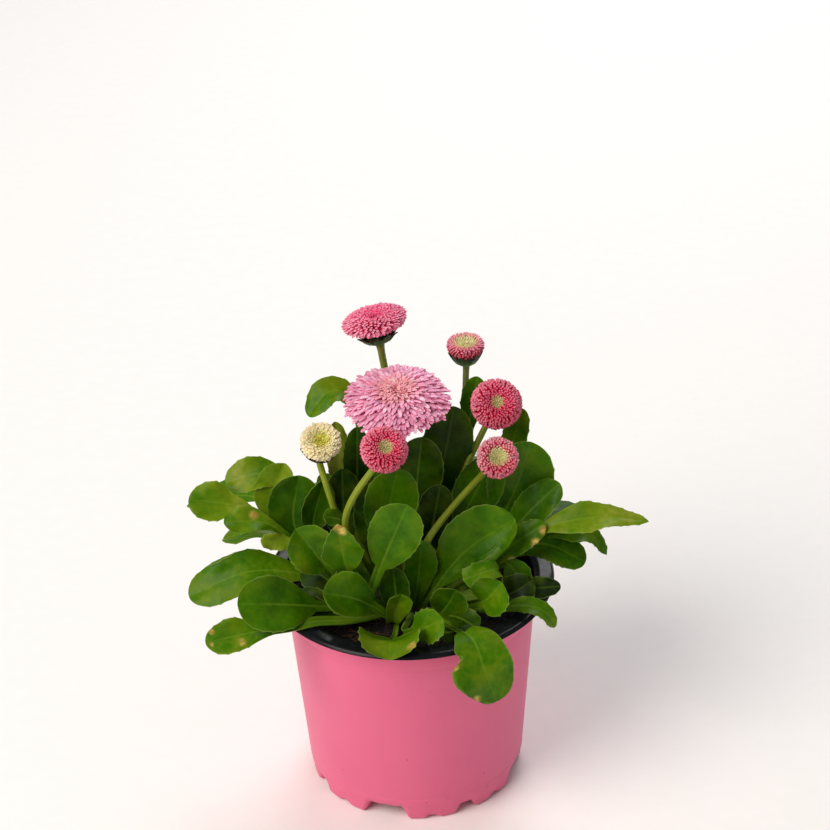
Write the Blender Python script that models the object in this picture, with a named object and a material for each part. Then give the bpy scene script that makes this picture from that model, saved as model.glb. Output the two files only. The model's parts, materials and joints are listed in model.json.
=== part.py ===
# English daisy in a two-tone thermoformed pot, in metres, +Z up.
# The origin is on the pot's axis, on the surface that its feet stand on.
import math
import random

import bpy
import bmesh
from mathutils import Matrix, Vector

MM = 0.001
GAP = 0.3 * MM

# Pot: a round sheet pot of 10.5 cm, with four pairs of notched feet
POT_RIM_RADIUS = 52.5 * MM
POT_HEIGHT = 82.9 * MM
POT_SHEET = 1.0 * MM
POT_WALL_TOP_RADIUS = 45.9 * MM
POT_WALL_FOOT_RADIUS = 40.15 * MM
POT_WALL_FOOT_HEIGHT = 8.0 * MM

# Flange: thickness, then its rounded top edge and the lip that turns down round it
FLANGE_THICKNESS = 1.7 * MM
FLANGE_LIP_DROP = 1.55 * MM
FLANGE_LIP_INSET = 0.2 * MM
FLANGE_EDGE_DROP = 1.1 * MM
FLANGE_ROUND_WIDTH = 1.3 * MM
FLANGE_INNER_STEP = 0.4 * MM
FLANGE_INNER_DROP = 1.6 * MM

# Feet, in pairs: a narrow gap parts the two of a pair, a wide one parts the pairs.
# Heights and radii, then half angles of the notch and of the foot with their ramps
FOOT_PAIRS = 4
PAIR_PERIOD = 360.0 / FOOT_PAIRS
FIRST_FOOT_ANGLE = -82.75
SECOND_FOOT_TURN = 38.75
WIDE_GAP_TURN = (SECOND_FOOT_TURN + PAIR_PERIOD) / 2
FOOT_HEIGHT = 5.4 * MM
NARROW_GAP_HEIGHT = 3.6 * MM
FOOT_OUTER_RADIUS = 38.0 * MM
FOOT_INNER_RADIUS = 31.5 * MM
FOOT_CHAMFER = 1.2 * MM
FOOT_OUTER_ROOM = 0.5 * MM
FOOT_INNER_ROOM = 1.1 * MM
FOOT_FLOOR_ROOM = 0.4 * MM
FOOT_NOTCH_DEPTH = 1.3 * MM
FOOT_HALF_ANGLE = 13.2
FOOT_RAMP_ANGLE = 2.8
NOTCH_HALF_ANGLE = 2.5
NOTCH_RAMP_ANGLE = 2.0
ANGLE_SLACK = 0.1
WALL_FOOT_LIFT = 0.3 * MM
DRAIN_RADIUS = 3.0 * MM
DRAIN_RING_RADIUS = 34.5 * MM
DRAIN_CUT_DEPTH = 6.0 * MM
DRAIN_SIDES = 6

# Soil: fills the pot to 8 mm below the rim, with lumps in the rings of its top
SOIL_SEED = 5
SOIL_LEVEL = 74.0 * MM
SOIL_LUMPS = 1.1 * MM
SOIL_SIDES = 30
SOIL_FOOT_RADIUS = 35.5 * MM
SOIL_FOOT_CHAMFER = 1.2 * MM
SOIL_WALL_ROOM = 0.2 * MM
SOIL_EDGE_DROP = 2.0 * MM
SOIL_SHOULDER_WIDTH = 1.5 * MM
SOIL_SHOULDER_DROP = 0.8 * MM
SOIL_TOP_RADII = (38.0 * MM, 32.0 * MM, 27.5 * MM)
SOIL_POCKET_RISE = 10.0 * MM

# Crown: the short woody stub that leaves and scapes grow from
CROWN_CENTRE = (-2.0, -4.0)
CROWN_RADII = (23.0, 17.0)
CROWN_BOTTOM = 68.5
CROWN_TOP = 83.0
CROWN_SIDES = 18
CROWN_LEVELS = ((CROWN_BOTTOM, 0.92), (CROWN_TOP - 8.0, 1.0), (CROWN_TOP - 3.5, 0.8), (CROWN_TOP, 0.4))

# Leaves: thickness of the blade and of the petiole at its root, the teeth of the margin,
# and the widths from which a blade takes more or fewer sections
BLADE_THICKNESS = 0.8
PETIOLE_THICKNESS = 2.0
PETIOLE_HALF_WIDTH = 1.7
SHORTEST_PETIOLE = 0.12
NARROWEST_HALF_WIDTH = 0.9
TOOTH_DEPTH = 0.7
TIP_START = 0.97
TIP_END = 0.99
FOLD_EASE = 0.35
RIPPLE_ALONG = 9.0
RIPPLE_ACROSS = 2.2
WIDE_LEAF = 20.5
SMALL_LEAF = 10.5
ROOT_HEIGHT = 76.5

# Every leaf that the front shows, placed by hand in millimetres:
# the midrib's points from the root, then the blade's width and length, where its
# upper face looks (azimuth, elevation), the fold of its halves, its wave and how pointed it is.
LEAVES = {
    "left_high": dict(
        path=[(-14, 4, ROOT_HEIGHT), (-34, 10, 112), (-50, 12, 123), (-66, 10, 118)],
        width=15, blade=30, face=(-90, 50), fold=8, wave=0.8,
    ),
    "left_folded": dict(
        path=[(-12, 0, ROOT_HEIGHT), (-38, 3, 98), (-48, 5, 110), (-43, 8, 127)],
        width=15, blade=26, face=(-112, 20), fold=28, wave=0.5,
    ),
    "far_left_spoon": dict(
        path=[(-16, -2, ROOT_HEIGHT), (-40, -3, 102), (-60, -2, 115), (-78.5, -2, 119)],
        width=14.5, blade=22, face=(-90, 50), fold=6, wave=0.8,
    ),
    "left_spotted": dict(
        path=[(-16, -6, ROOT_HEIGHT), (-40, -7, 103), (-51, -7, 112), (-66, -8, 113)],
        width=12, blade=23, face=(-80, 60), fold=14, wave=0.9,
    ),
    "left_twisted": dict(
        path=[(-14, -8, ROOT_HEIGHT), (-34, -10, 98), (-43, -10, 104), (-53, -12, 108)],
        width=6.5, blade=14, face=(-90, 25), fold=12, wave=0.5,
    ),
    "left_dark": dict(
        path=[(-12, 2, ROOT_HEIGHT), (-34, 1, 94), (-41, 2, 108), (-38, 5, 127)],
        width=19, blade=30, face=(-80, 25), fold=8, wave=0.8,
    ),
    "left_dark_pointed": dict(
        path=[(-10, -2, ROOT_HEIGHT), (-30, -4, 96), (-34, -5, 108), (-29, -2, 126)],
        width=13, blade=24, face=(-60, 25), fold=18, wave=0.4, point=0.5,
    ),
    "small_curled": dict(
        path=[(-14, -12, ROOT_HEIGHT), (-21, -14, 104), (-23, -16, 116), (-30, -18, 120)],
        width=6, blade=10, face=(-90, 50), fold=15, wave=0.3,
    ),
    "heart": dict(
        path=[(-14, -10, ROOT_HEIGHT), (-25, -12, 100), (-31, -16, 114), (-34, -25, 112), (-33, -31, 103)],
        width=17, blade=25, face=(-90, 60), fold=24, wave=0.6,
    ),
    "brown_tipped": dict(
        path=[(-12, -12, ROOT_HEIGHT), (-22, -16, 88), (-27, -18, 99), (-24, -20, 119)],
        width=16, blade=24, face=(-90, 15), fold=8, wave=0.7, point=0.7,
    ),
    "left_long": dict(
        path=[(-16, -4, ROOT_HEIGHT), (-34, -8, 88), (-57, -12, 94), (-80, -15, 87)],
        width=17, blade=46, face=(-90, 58), fold=6, wave=1.0,
    ),
    "left_front_broad": dict(
        path=[(-12, -12, ROOT_HEIGHT), (-31, -21, 87), (-46, -28, 93), (-61, -31, 97)],
        width=21, blade=32, face=(-88, 45), fold=5, wave=0.8,
    ),
    "left_low": dict(
        path=[(-6, -15, ROOT_HEIGHT), (-22, -24, 81), (-42, -34, 87), (-56, -38, 88.5), (-73, -40, 82)],
        width=15, blade=33, face=(-90, 55), fold=6, wave=0.8,
    ),
    "centre_folded": dict(
        path=[(-5, -15, ROOT_HEIGHT), (-11, -24, 85), (-18, -28, 91), (-31, -34, 99)],
        width=20, blade=23, face=(-80, 50), fold=32, wave=0.6,
    ),
    "funnel": dict(
        path=[(-6, -17, ROOT_HEIGHT), (-6, -21, 82), (-3, -22, 92)],
        width=9, blade=14, face=(-90, 10), fold=30, wave=0.3,
    ),
    "centre_front": dict(
        path=[(-12, -15, ROOT_HEIGHT), (-14, -20, 87), (-11, -24, 100), (0, -28, 130)],
        width=18, blade=32, face=(-95, 22), fold=5, wave=0.5,
    ),
    "centre_behind": dict(
        path=[(-8, -11, ROOT_HEIGHT), (-9, -14, 105), (-3, -13, 136)],
        width=19, blade=34, face=(-80, 20), fold=10, wave=0.6,
    ),
    "rim_cupped": dict(
        path=[(-5, -17, ROOT_HEIGHT), (-6, -30, 80), (-7, -44, 85), (-8, -57, 87)],
        width=23, blade=25, face=(-90, 75), fold=32, wave=0.6,
    ),
    "rim_round": dict(
        path=[(0, -18, ROOT_HEIGHT), (1, -29, 81), (12, -42, 87)],
        width=13, blade=18, face=(-80, 45), fold=14, wave=0.5,
    ),
    "front_drooping": dict(
        path=[(6, -15, ROOT_HEIGHT), (13, -33, 87), (19, -48, 90), (23, -56, 81), (27, -57, 65)],
        width=21, blade=36, face=(-72, 35), fold=8, wave=0.9,
    ),
    "dark_round": dict(
        path=[(4, -15, ROOT_HEIGHT), (8, -24, 84), (20, -32, 95)],
        width=12, blade=16, face=(-80, 45), fold=14, wave=0.5,
    ),
    "bright_cup": dict(
        path=[(10, -14, ROOT_HEIGHT), (20, -28, 88), (35, -36, 98)],
        width=14, blade=18, face=(-72, 60), fold=28, wave=0.6,
    ),
    "right_olive": dict(
        path=[(12, -12, ROOT_HEIGHT), (30, -26, 86), (42, -28, 89), (51, -30, 80)],
        width=10, blade=26, face=(-80, 50), fold=12, wave=0.6,
    ),
    "right_dark_low": dict(
        path=[(13, -8, ROOT_HEIGHT), (33, -16, 84), (54, -17, 86)],
        width=9, blade=28, face=(-90, 60), fold=8, wave=0.6,
    ),
    "right_broad": dict(
        path=[(3, -13, ROOT_HEIGHT), (8, -15, 86), (20, -15, 102), (38, -14, 112)],
        width=23, blade=42, face=(-72, 38), fold=16, wave=0.9,
    ),
    "upper_right_dark": dict(
        path=[(12, 2, ROOT_HEIGHT), (28, 4, 94), (38, 7, 110), (45, 10, 131)],
        width=24, blade=38, face=(-80, 28), fold=12, wave=0.9,
    ),
    "right_middle": dict(
        path=[(13, -2, ROOT_HEIGHT), (34, 0, 96), (44, 1, 107), (55, 2, 118)],
        width=13, blade=30, face=(-88, 50), fold=10, wave=0.9,
    ),
    "right_long_pointed": dict(
        path=[(14, -4, ROOT_HEIGHT), (34, -6, 94), (50, -7, 105), (69, -8, 109), (86.5, -9, 107)],
        width=12.5, blade=42, face=(-92, 62), fold=8, wave=0.6, point=1.0,
    ),
    "right_drooping": dict(
        path=[(14, 0, ROOT_HEIGHT), (38, 2, 92), (54, 2, 97), (66, 2, 95), (72, 0, 87)],
        width=9, blade=28, face=(-90, 60), fold=8, wave=0.5, point=1.0,
    ),
    "right_lower_dark": dict(
        path=[(13, -4, ROOT_HEIGHT), (33, -2, 88), (48, -1, 94), (64, -4, 87)],
        width=13, blade=30, face=(-90, 52), fold=6, wave=0.7,
    ),
    "right_damaged": dict(
        path=[(11, -8, ROOT_HEIGHT), (25, -12, 91), (34, -10, 98), (49, -6, 105)],
        width=11, blade=30, face=(-90, 60), fold=8, wave=1.0,
    ),
    "right_twisted": dict(
        path=[(11, -11, ROOT_HEIGHT), (21, -18, 84), (27, -22, 93), (25, -23, 104)],
        width=13, blade=17, face=(-90, 30), fold=14, wave=0.6,
    ),
    "right_small": dict(
        path=[(12, -9, ROOT_HEIGHT), (31, -12, 93), (37, -14, 92), (40, -17, 84)],
        width=10, blade=15, face=(-80, 30), fold=10, wave=0.4,
    ),
    "centre_dark": dict(
        path=[(0, -13, ROOT_HEIGHT), (1, -17, 88), (4, -16, 110)],
        width=15, blade=28, face=(-90, 12), fold=10, wave=0.6,
    ),
    "right_behind_stem": dict(
        path=[(7, 0, ROOT_HEIGHT), (18, 4, 100), (32, 8, 126)],
        width=17, blade=34, face=(-88, 20), fold=10, wave=0.8,
    ),
    "tall_dark": dict(
        path=[(4, 6, ROOT_HEIGHT), (9, 9, 100), (18, 15, 144)],
        width=19, blade=46, face=(-85, 15), fold=10, wave=0.8,
    ),
    "top_peeking": dict(
        path=[(8, 9, ROOT_HEIGHT), (20, 21, 115), (27, 31, 147)],
        width=9, blade=22, face=(-90, 40), fold=10, wave=0.4,
    ),
    "behind_right_head": dict(
        path=[(12, 5, ROOT_HEIGHT), (32, 13, 108), (43, 22, 138)],
        width=9, blade=27, face=(-90, 30), fold=10, wave=0.5,
    ),
    "folded_back_left": dict(
        path=[(-6, 8, ROOT_HEIGHT), (-14, 18, 118), (-19, 24, 142), (-27, 24, 146), (-35, 20, 138)],
        width=11, blade=31, face=(-105, 60), fold=10, wave=0.6,
    ),
    "yellow_green": dict(
        path=[(-12, 4, ROOT_HEIGHT), (-23, 8, 105), (-25, 14, 140)],
        width=9, blade=34, face=(-65, 20), fold=14, wave=0.5,
    ),
    "left_dark_narrow": dict(
        path=[(-8, 2, ROOT_HEIGHT), (-17, 4, 106), (-17, 8, 141)],
        width=10, blade=36, face=(-90, 15), fold=12, wave=0.6,
    ),
    "centre_back_dark": dict(
        path=[(-1, 4, ROOT_HEIGHT), (2, 5, 104), (4, 6, 134)],
        width=17, blade=36, face=(-90, 15), fold=10, wave=0.6,
    ),
    "centre_gap_dark": dict(
        path=[(6, -2, ROOT_HEIGHT), (8, -3, 100), (12, -1, 121)],
        width=13, blade=30, face=(-95, 15), fold=8, wave=0.6,
    ),
    "between_stems_left": dict(
        path=[(-14, -3, ROOT_HEIGHT), (-22, -3, 98), (-23, 1, 128)],
        width=13, blade=32, face=(-80, 20), fold=8, wave=0.6,
    ),
    "between_stems_centre": dict(
        path=[(-7, -6, ROOT_HEIGHT), (-13, -7, 98), (-12, -4, 125)],
        width=13, blade=30, face=(-90, 20), fold=8, wave=0.6,
    ),
}

# Back of the plant, which the front hides: two tiers by rule, and one leaf at its left
BACK_SEED = 11
BACK_ROOT_RADII = (13, 10)
BACK_TIERS = (
    dict(
        count=8, first=14, last=176, reach=(72, 68), tip=(88, 97),
        width=(13, 18), blade=(30, 40), arch=10,
    ),
    dict(
        count=5, first=30, last=150, reach=(40, 36), tip=(112, 124),
        width=(13, 17), blade=(30, 38), arch=4,
    ),
)
BACK_LEFT = dict(
    path=[(-15, 8, ROOT_HEIGHT), (-46, 26, 96), (-66, 37, 96), (-84, 43, 88)],
    width=13, blade=34, face=(-90, 70), fold=6, wave=0.6, point=0.9,
)

# Flower heads: where the bract cup ends, how the head leans, its size and its florets
HEADS = {
    "rose_pompon": dict(
        root=(0, 8), via=(-4, 30, 128), seat=(-8.6, 32, 165), lean=(150, 79),
        radius=11.9, height=8.6, rings=4, around=16, cup=5.2,
    ),
    "open_pink": dict(
        root=(-1, 1), via=(-3, 8, 115), seat=(-2.5, 8, 147.5), lean=(-90, 80),
        cup=6.0,
    ),
    "small_bud": dict(
        root=(11, 5), via=(21, 31, 125), seat=(23, 35, 154.5), lean=(-90, 86),
        radius=6.8, height=6.2, rings=3, around=11, cup=4.6, disc=3.2,
    ),
    "crimson_right": dict(
        root=(5, -1), via=(20, 8, 118), seat=(32.5, 15, 142.5), lean=(-82, 45),
        radius=9.2, height=9.0, rings=4, around=14, cup=5.0, disc=2.4,
    ),
    "crimson_centre": dict(
        root=(-15, -8), via=(-22, -24, 121), seat=(-8, -23.5, 148), lean=(-74, 50),
        radius=8.2, height=8.4, rings=4, around=14, cup=4.8, disc=2.4,
    ),
    "red_white_right": dict(
        root=(1, -9), via=(7, -15, 107), seat=(32, -1, 130.5), lean=(-84, 38),
        radius=7.4, height=7.2, rings=3, around=13, cup=4.8, disc=2.7,
    ),
    "cream_bud": dict(
        root=(-17, -5), via=(-26, -9, 117), seat=(-30, -4, 140), lean=(-75, 60),
        radius=7.3, height=6.8, rings=3, around=12, cup=5.0, disc=3.4,
    ),
}
SCAPE_RADIUS = 1.35
SCAPE_SIDES = 6
SCAPE_STATIONS = (0.0, 0.3, 0.6, 0.85, 1.0)
SCAPE_NECK = 3.0
BRACT_COUNT = 6

# Bract cup, in shares of its radius: depth and width of its rings, its notches
CUP_RINGS = ((-1.1, 0.2), (-0.6, 0.75))
CUP_NECK = 0.95
CUP_NOTCH = (-0.16, 0.86)

# Dense heads: how far the quills stand out, how far the dome turns under, the disc's socket
QUILL_RELIEF = 0.22
DOME_UNDERCUT = 25
DOME_TOP_ROOM = 1.5
SOCKET_DEPTH = 1.3
SOCKET_ROOM = 0.5
SOCKET_DRAFT = 0.2
BARE_SOCKET_RADIUS = 1.2

# Disc: a low dome of bumps
DISC_SIDES = 12
DISC_ROWS = 4
DISC_WALL = 1.1
DISC_DOME = 0.9
DISC_BUMP = 0.25
DISC_CLOSING = 0.95

# Open bloom: florets by layer, from the outermost in
OPEN_BASE_RADIUS = 5.5
OPEN_FLORETS = 24
OPEN_TOP = 9.4
OPEN_TOP_RADIUS = 1.2
OPEN_LAYERS = (
    dict(reach=20.0, notch=15.5, foot=8.0, rise=0.7, lift=3),
    dict(reach=17.6, notch=13.6, foot=8.0, rise=2.6, lift=11),
    dict(reach=14.0, notch=10.6, foot=6.6, rise=5.0, lift=20),
    dict(reach=9.0, notch=6.4, foot=3.6, rise=7.6, lift=28),
)
FLORET_THICKNESS = 0.9
FLORET_EDGE = 0.3


def clear_scene():
    for obj in list(bpy.data.objects):
        bpy.data.objects.remove(obj, do_unlink=True)


def make_material(name, colour, roughness, metallic=0.0):
    material = bpy.data.materials.new(name)
    material.use_nodes = True
    shader = material.node_tree.nodes["Principled BSDF"]
    shader.inputs["Base Color"].default_value = (*colour, 1.0)
    shader.inputs["Roughness"].default_value = roughness
    shader.inputs["Metallic"].default_value = metallic
    return material


def make_object(name, vertices, faces, material=None, collection=None):
    mesh = bpy.data.meshes.new(name)
    mesh.from_pydata([tuple(v) for v in vertices], [], faces)
    mesh.validate()
    build = bmesh.new()
    build.from_mesh(mesh)
    bmesh.ops.recalc_face_normals(build, faces=build.faces)
    build.to_mesh(mesh)
    build.free()
    obj = bpy.data.objects.new(name, mesh)
    (collection or bpy.context.scene.collection).objects.link(obj)
    if material:
        mesh.materials.append(material)
    return obj


def smooth_shade(obj, angle=40):
    obj.data.shade_smooth()
    obj.data.set_sharp_from_angle(angle=math.radians(angle))


def loft(rings, start_cap=True, end_cap=True):
    # Rings of equal size joined by triangles, with the same split on every face
    size = len(rings[0])
    vertices = [point for ring in rings for point in ring]
    faces = []
    for level in range(len(rings) - 1):
        low = level * size
        high = low + size
        for i in range(size):
            j = (i + 1) % size
            faces.append((low + i, low + j, high + j))
            faces.append((low + i, high + j, high + i))
    if start_cap:
        faces.append(tuple(reversed(range(size))))
    if end_cap:
        last = (len(rings) - 1) * size
        faces.append(tuple(last + i for i in range(size)))
    return vertices, faces


def direction(azimuth, elevation):
    a = math.radians(azimuth)
    e = math.radians(elevation)
    return Vector((math.cos(e) * math.cos(a), math.cos(e) * math.sin(a), math.sin(e)))


def curve_through(points, steps):
    # Smooth curve through the points, read at even distances along it
    knots = [Vector(p) for p in points]
    knots = [2 * knots[0] - knots[1]] + knots + [2 * knots[-1] - knots[-2]]
    fine = []
    for k in range(1, len(knots) - 2):
        a, b, c, d = knots[k - 1:k + 3]
        for i in range(24):
            t = i / 24
            squared = (2 * a - 5 * b + 4 * c - d) * t * t
            cubed = (3 * b - a - 3 * c + d) * t ** 3
            fine.append(0.5 * (2 * b + (c - a) * t + squared + cubed))
    fine.append(knots[-2].copy())
    reach = [0.0]
    for before, after in zip(fine, fine[1:]):
        reach.append(reach[-1] + (after - before).length)
    total = reach[-1]
    result = []
    index = 0
    for fraction in steps:
        target = min(max(fraction, 0.0), 1.0) * total
        while index < len(reach) - 2 and reach[index + 1] < target:
            index += 1
        span = reach[index + 1] - reach[index]
        t = (target - reach[index]) / span if span else 0.0
        point = fine[index].lerp(fine[index + 1], t)
        tangent = (fine[min(index + 2, len(fine) - 1)] - fine[max(index - 1, 0)]).normalized()
        result.append((point, tangent))
    return result, total


def blade_outline(u, point):
    # Half width of a spoon-shaped blade, from its foot at 0 to its tip at 1
    widest = 0.60 - 0.12 * point
    if u < widest:
        return 0.16 + 0.84 * math.sin(math.pi / 2 * u / widest) ** 1.35
    v = (u - widest) / (1.0 - widest)
    round_end = math.sqrt(max(0.0, 1.0 - v ** 2.3))
    pointed_end = (1.0 - v) ** 0.9
    return round_end * (1.0 - 0.8 * point) + pointed_end * 0.8 * point


def carry_normals(frames, middle, look):
    # Upper side of a leaf: set at mid blade, then carried along the midrib with no twist
    normals = [None] * len(frames)
    tangent = frames[middle][1]
    normals[middle] = (look - tangent * look.dot(tangent)).normalized()
    for order in (range(middle + 1, len(frames)), range(middle - 1, -1, -1)):
        last = normals[middle]
        for index in order:
            tangent = frames[index][1]
            last = (last - tangent * last.dot(tangent)).normalized()
            normals[index] = last
    return normals


def leaf_rings(path, width, blade, face, fold, wave, point=0.0):
    # Cross-sections of one leaf: a gutter-shaped petiole that widens into a folded, waved blade
    columns = 5 if width >= WIDE_LEAF else 3
    stations = 7 if width >= WIDE_LEAF else 6 if width >= SMALL_LEAF else 5
    length = curve_through(path, [0.0])[1]
    foot = max(SHORTEST_PETIOLE, 1.0 - blade / length)
    petiole = [0.0, 0.5 * foot]
    along = [foot + (1.0 - foot) * i / (stations - 1) for i in range(stations)]
    along[-1] = TIP_END
    steps = petiole + along
    frames, _ = curve_through(path, steps)
    normals = carry_normals(frames, 2 + stations // 2, direction(*face))
    across = [2 * c / (columns - 1) - 1 for c in range(columns)]
    angle = math.radians(fold)
    rings = []
    for index, (step, (centre, tangent), normal) in enumerate(zip(steps, frames, normals)):
        side = tangent.cross(normal).normalized()
        u = max(0.0, (step - foot) / (1.0 - foot))
        open_blade = 0.0
        half = PETIOLE_HALF_WIDTH
        if u > 0.0:
            open_blade = blade_outline(u, point)
            tooth = TOOTH_DEPTH if u < TIP_START and index % 2 else 0.0
            half = max(0.5 * width * open_blade + tooth, NARROWEST_HALF_WIDTH)
        thick = BLADE_THICKNESS + (PETIOLE_THICKNESS - BLADE_THICKNESS) * max(0.0, 1.0 - step / foot)
        top = []
        bottom = []
        for c in across:
            ripple = wave * math.sin(RIPPLE_ALONG * u + RIPPLE_ACROSS * c) * abs(c) * open_blade
            spread = side * (c * half * math.cos(angle * (1 - FOLD_EASE * abs(c))))
            place = centre + spread + normal * (abs(c) * half * math.sin(angle) + ripple)
            top.append(place + normal * thick / 2)
            bottom.append(place - normal * thick / 2)
        rings.append([p * MM for p in top + bottom[::-1]])
    return rings


def make_leaf(name, collection, **shape):
    vertices, faces = loft(leaf_rings(**shape))
    return make_object(name, vertices, faces, collection=collection)


def back_leaves():
    # Leaves of the hidden side, spread evenly with a seeded draw
    draw = random.Random(BACK_SEED)
    leaves = {"back_left": BACK_LEFT}
    for tier_index, tier in enumerate(BACK_TIERS):
        for i in range(tier["count"]):
            spread = (tier["last"] - tier["first"]) / (tier["count"] - 1)
            azimuth = tier["first"] + spread * i + draw.uniform(-4, 4)
            out = direction(azimuth, 0)
            reach_x, reach_y = tier["reach"]
            scale = draw.uniform(0.88, 1.0)
            tip = Vector((out.x * reach_x * scale, out.y * reach_y * scale, draw.uniform(*tier["tip"])))
            root_x = CROWN_CENTRE[0] + out.x * BACK_ROOT_RADII[0]
            root_y = CROWN_CENTRE[1] + out.y * BACK_ROOT_RADII[1]
            root = Vector((root_x, root_y, ROOT_HEIGHT))
            low = root.lerp(tip, 0.36) + Vector((0, 0, tier["arch"] * 0.8))
            high = root.lerp(tip, 0.7) + Vector((0, 0, tier["arch"]))
            leaves[f"back_{tier_index}_{i}"] = dict(
                path=[root, low, high, tip],
                width=draw.uniform(*tier["width"]),
                blade=draw.uniform(*tier["blade"]),
                face=(azimuth + 180 + draw.uniform(-20, 20), 62 - 22 * tier_index),
                fold=draw.uniform(4, 14),
                wave=draw.uniform(0.4, 1.0),
            )
    return leaves


def make_crown(collection):
    rings = []
    for height, scale in CROWN_LEVELS:
        ring = []
        for i in range(CROWN_SIDES):
            a = 2 * math.pi * i / CROWN_SIDES
            ring.append(Vector((
                CROWN_CENTRE[0] + CROWN_RADII[0] * scale * math.cos(a),
                CROWN_CENTRE[1] + CROWN_RADII[1] * scale * math.sin(a),
                height,
            )) * MM)
        rings.append(ring)
    vertices, faces = loft(rings)
    return make_object("crown", vertices, faces, collection=collection)


def head_frame(head):
    # Turns a head's own axes, with its axis along Z, to its lean and seat
    axis = direction(*head["lean"])
    turn = Vector((0, 0, 1)).rotation_difference(axis).to_matrix().to_4x4()
    return Matrix.Translation(Vector(head["seat"])) @ turn


def make_scape(name, head, collection):
    # Flower stem that widens into the bract cup, whose toothed edge the florets sit on
    frame = head_frame(head)
    axis = frame.to_3x3() @ Vector((0, 0, 1))
    cup = head["cup"]
    neck = Vector(head["seat"]) - axis * (cup * CUP_NECK)
    path = [(*head["root"], ROOT_HEIGHT), head["via"], neck - axis * SCAPE_NECK, neck]
    frames, _ = curve_through(path, SCAPE_STATIONS)
    sides = 2 * BRACT_COUNT
    rings = []
    across = Vector((1, 0, 0))
    for centre, tangent in frames:
        across = (across - tangent * across.dot(tangent)).normalized()
        up = tangent.cross(across)
        ring = []
        for i in range(SCAPE_SIDES):
            a = 2 * math.pi * i / SCAPE_SIDES
            ring.append((centre + (across * math.cos(a) + up * math.sin(a)) * SCAPE_RADIUS) * MM)
        rings.append(ring)
    vertices, faces = loft(rings)
    make_object(f"scape_{name}", vertices, faces, collection=collection)

    cup_rings = [[share] * sides for share in CUP_RINGS]
    cup_rings.append([(0.0, 1.0) if i % 2 == 0 else CUP_NOTCH for i in range(sides)])
    rings = []
    for ring in cup_rings:
        points = []
        for i, (level, radius) in enumerate(ring):
            a = 2 * math.pi * i / sides
            local = Vector((math.cos(a) * radius, math.sin(a) * radius, level)) * cup
            points.append(frame @ local * MM)
        rings.append(points)
    vertices, faces = loft(rings, end_cap=False)
    centre = len(vertices)
    vertices.append(frame @ Vector((0, 0, 0)) * MM)
    last = (len(rings) - 1) * sides
    for i in range(sides):
        faces.append((last + i, last + (i + 1) % sides, centre))
    make_object(f"cup_{name}", vertices, faces, collection=collection)


def union_collection(name, collection, material, solver="EXACT"):
    # One closed body from everything in the collection
    objects = list(collection.objects)
    base = objects[0]
    collection.objects.unlink(base)
    bpy.context.scene.collection.objects.link(base)
    join = base.modifiers.new("grown together", "BOOLEAN")
    join.operation = "UNION"
    join.operand_type = "COLLECTION"
    join.collection = collection
    join.solver = solver
    bpy.context.view_layer.update()
    evaluated = base.evaluated_get(bpy.context.evaluated_depsgraph_get())
    mesh = bpy.data.meshes.new_from_object(evaluated)
    for obj in objects:
        bpy.data.objects.remove(obj, do_unlink=True)
    bpy.data.collections.remove(collection)
    build = bmesh.new()
    build.from_mesh(mesh)
    bmesh.ops.triangulate(build, faces=build.faces)
    keep_largest(build)
    build.to_mesh(mesh)
    build.free()
    mesh.name = name
    mesh.materials.clear()
    mesh.materials.append(material)
    obj = bpy.data.objects.new(name, mesh)
    bpy.context.scene.collection.objects.link(obj)
    return obj


def keep_largest(build):
    # Drops loose scraps, and the walls of hollows that the union sealed
    todo = set(build.faces)
    groups = []
    while todo:
        stack = [todo.pop()]
        group = []
        while stack:
            face = stack.pop()
            group.append(face)
            for edge in face.edges:
                for other in edge.link_faces:
                    if other in todo:
                        todo.remove(other)
                        stack.append(other)
        groups.append(group)
    groups.sort(key=len)
    scraps = [face for group in groups[:-1] for face in group]
    bmesh.ops.delete(build, geom=scraps, context="FACES")
    loose = [v for v in build.verts if not v.link_faces]
    bmesh.ops.delete(build, geom=loose, context="VERTS")


def make_rosette(material):
    collection = bpy.data.collections.new("rosette_pieces")
    bpy.context.scene.collection.children.link(collection)
    make_crown(collection)
    for name, shape in {**LEAVES, **back_leaves()}.items():
        make_leaf(name, collection, **shape)
    for name, head in HEADS.items():
        make_scape(name, head, collection)
    return union_collection("rosette", collection, material)


def make_button_rays(name, head, material):
    # Dense head: quilled florets as staggered points raised from a dome, round a shallow socket
    frame = head_frame(head)
    columns = 2 * head["around"]
    rows = 2 * head["rings"]
    socket = head.get("disc", BARE_SOCKET_RADIUS) + SOCKET_ROOM
    dome = head["radius"] * (1.0 - QUILL_RELIEF)
    low = math.radians(-DOME_UNDERCUT)
    high = math.acos(socket / dome)
    tall = (head["height"] - DOME_TOP_ROOM) / (1.0 - math.sin(low))
    rings = []
    for row in range(rows + 1):
        slant = low + (high - low) * row / rows
        level = GAP / MM + tall * (math.sin(slant) - math.sin(low))
        ring = []
        for i in range(columns):
            out = direction(360 * i / columns, 0)
            place = out * (dome * math.cos(slant)) + Vector((0, 0, level))
            if row % 2 == 1 and i % 2 == (row // 2) % 2:
                place += direction(360 * i / columns, math.degrees(slant)) * (head["radius"] * QUILL_RELIEF)
            ring.append(place)
        rings.append(ring)
    floor = rings[-1][0].z - SOCKET_DEPTH
    bottom = Vector((0, 0, floor))
    rings.append([direction(360 * i / columns, 0) * (socket - SOCKET_DRAFT) + bottom for i in range(columns)])
    vertices, faces = loft([[frame @ p * MM for p in ring] for ring in rings])
    obj = make_object(f"rays_{name}", vertices, faces, material)
    smooth_shade(obj, 25)
    return obj, floor


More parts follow.
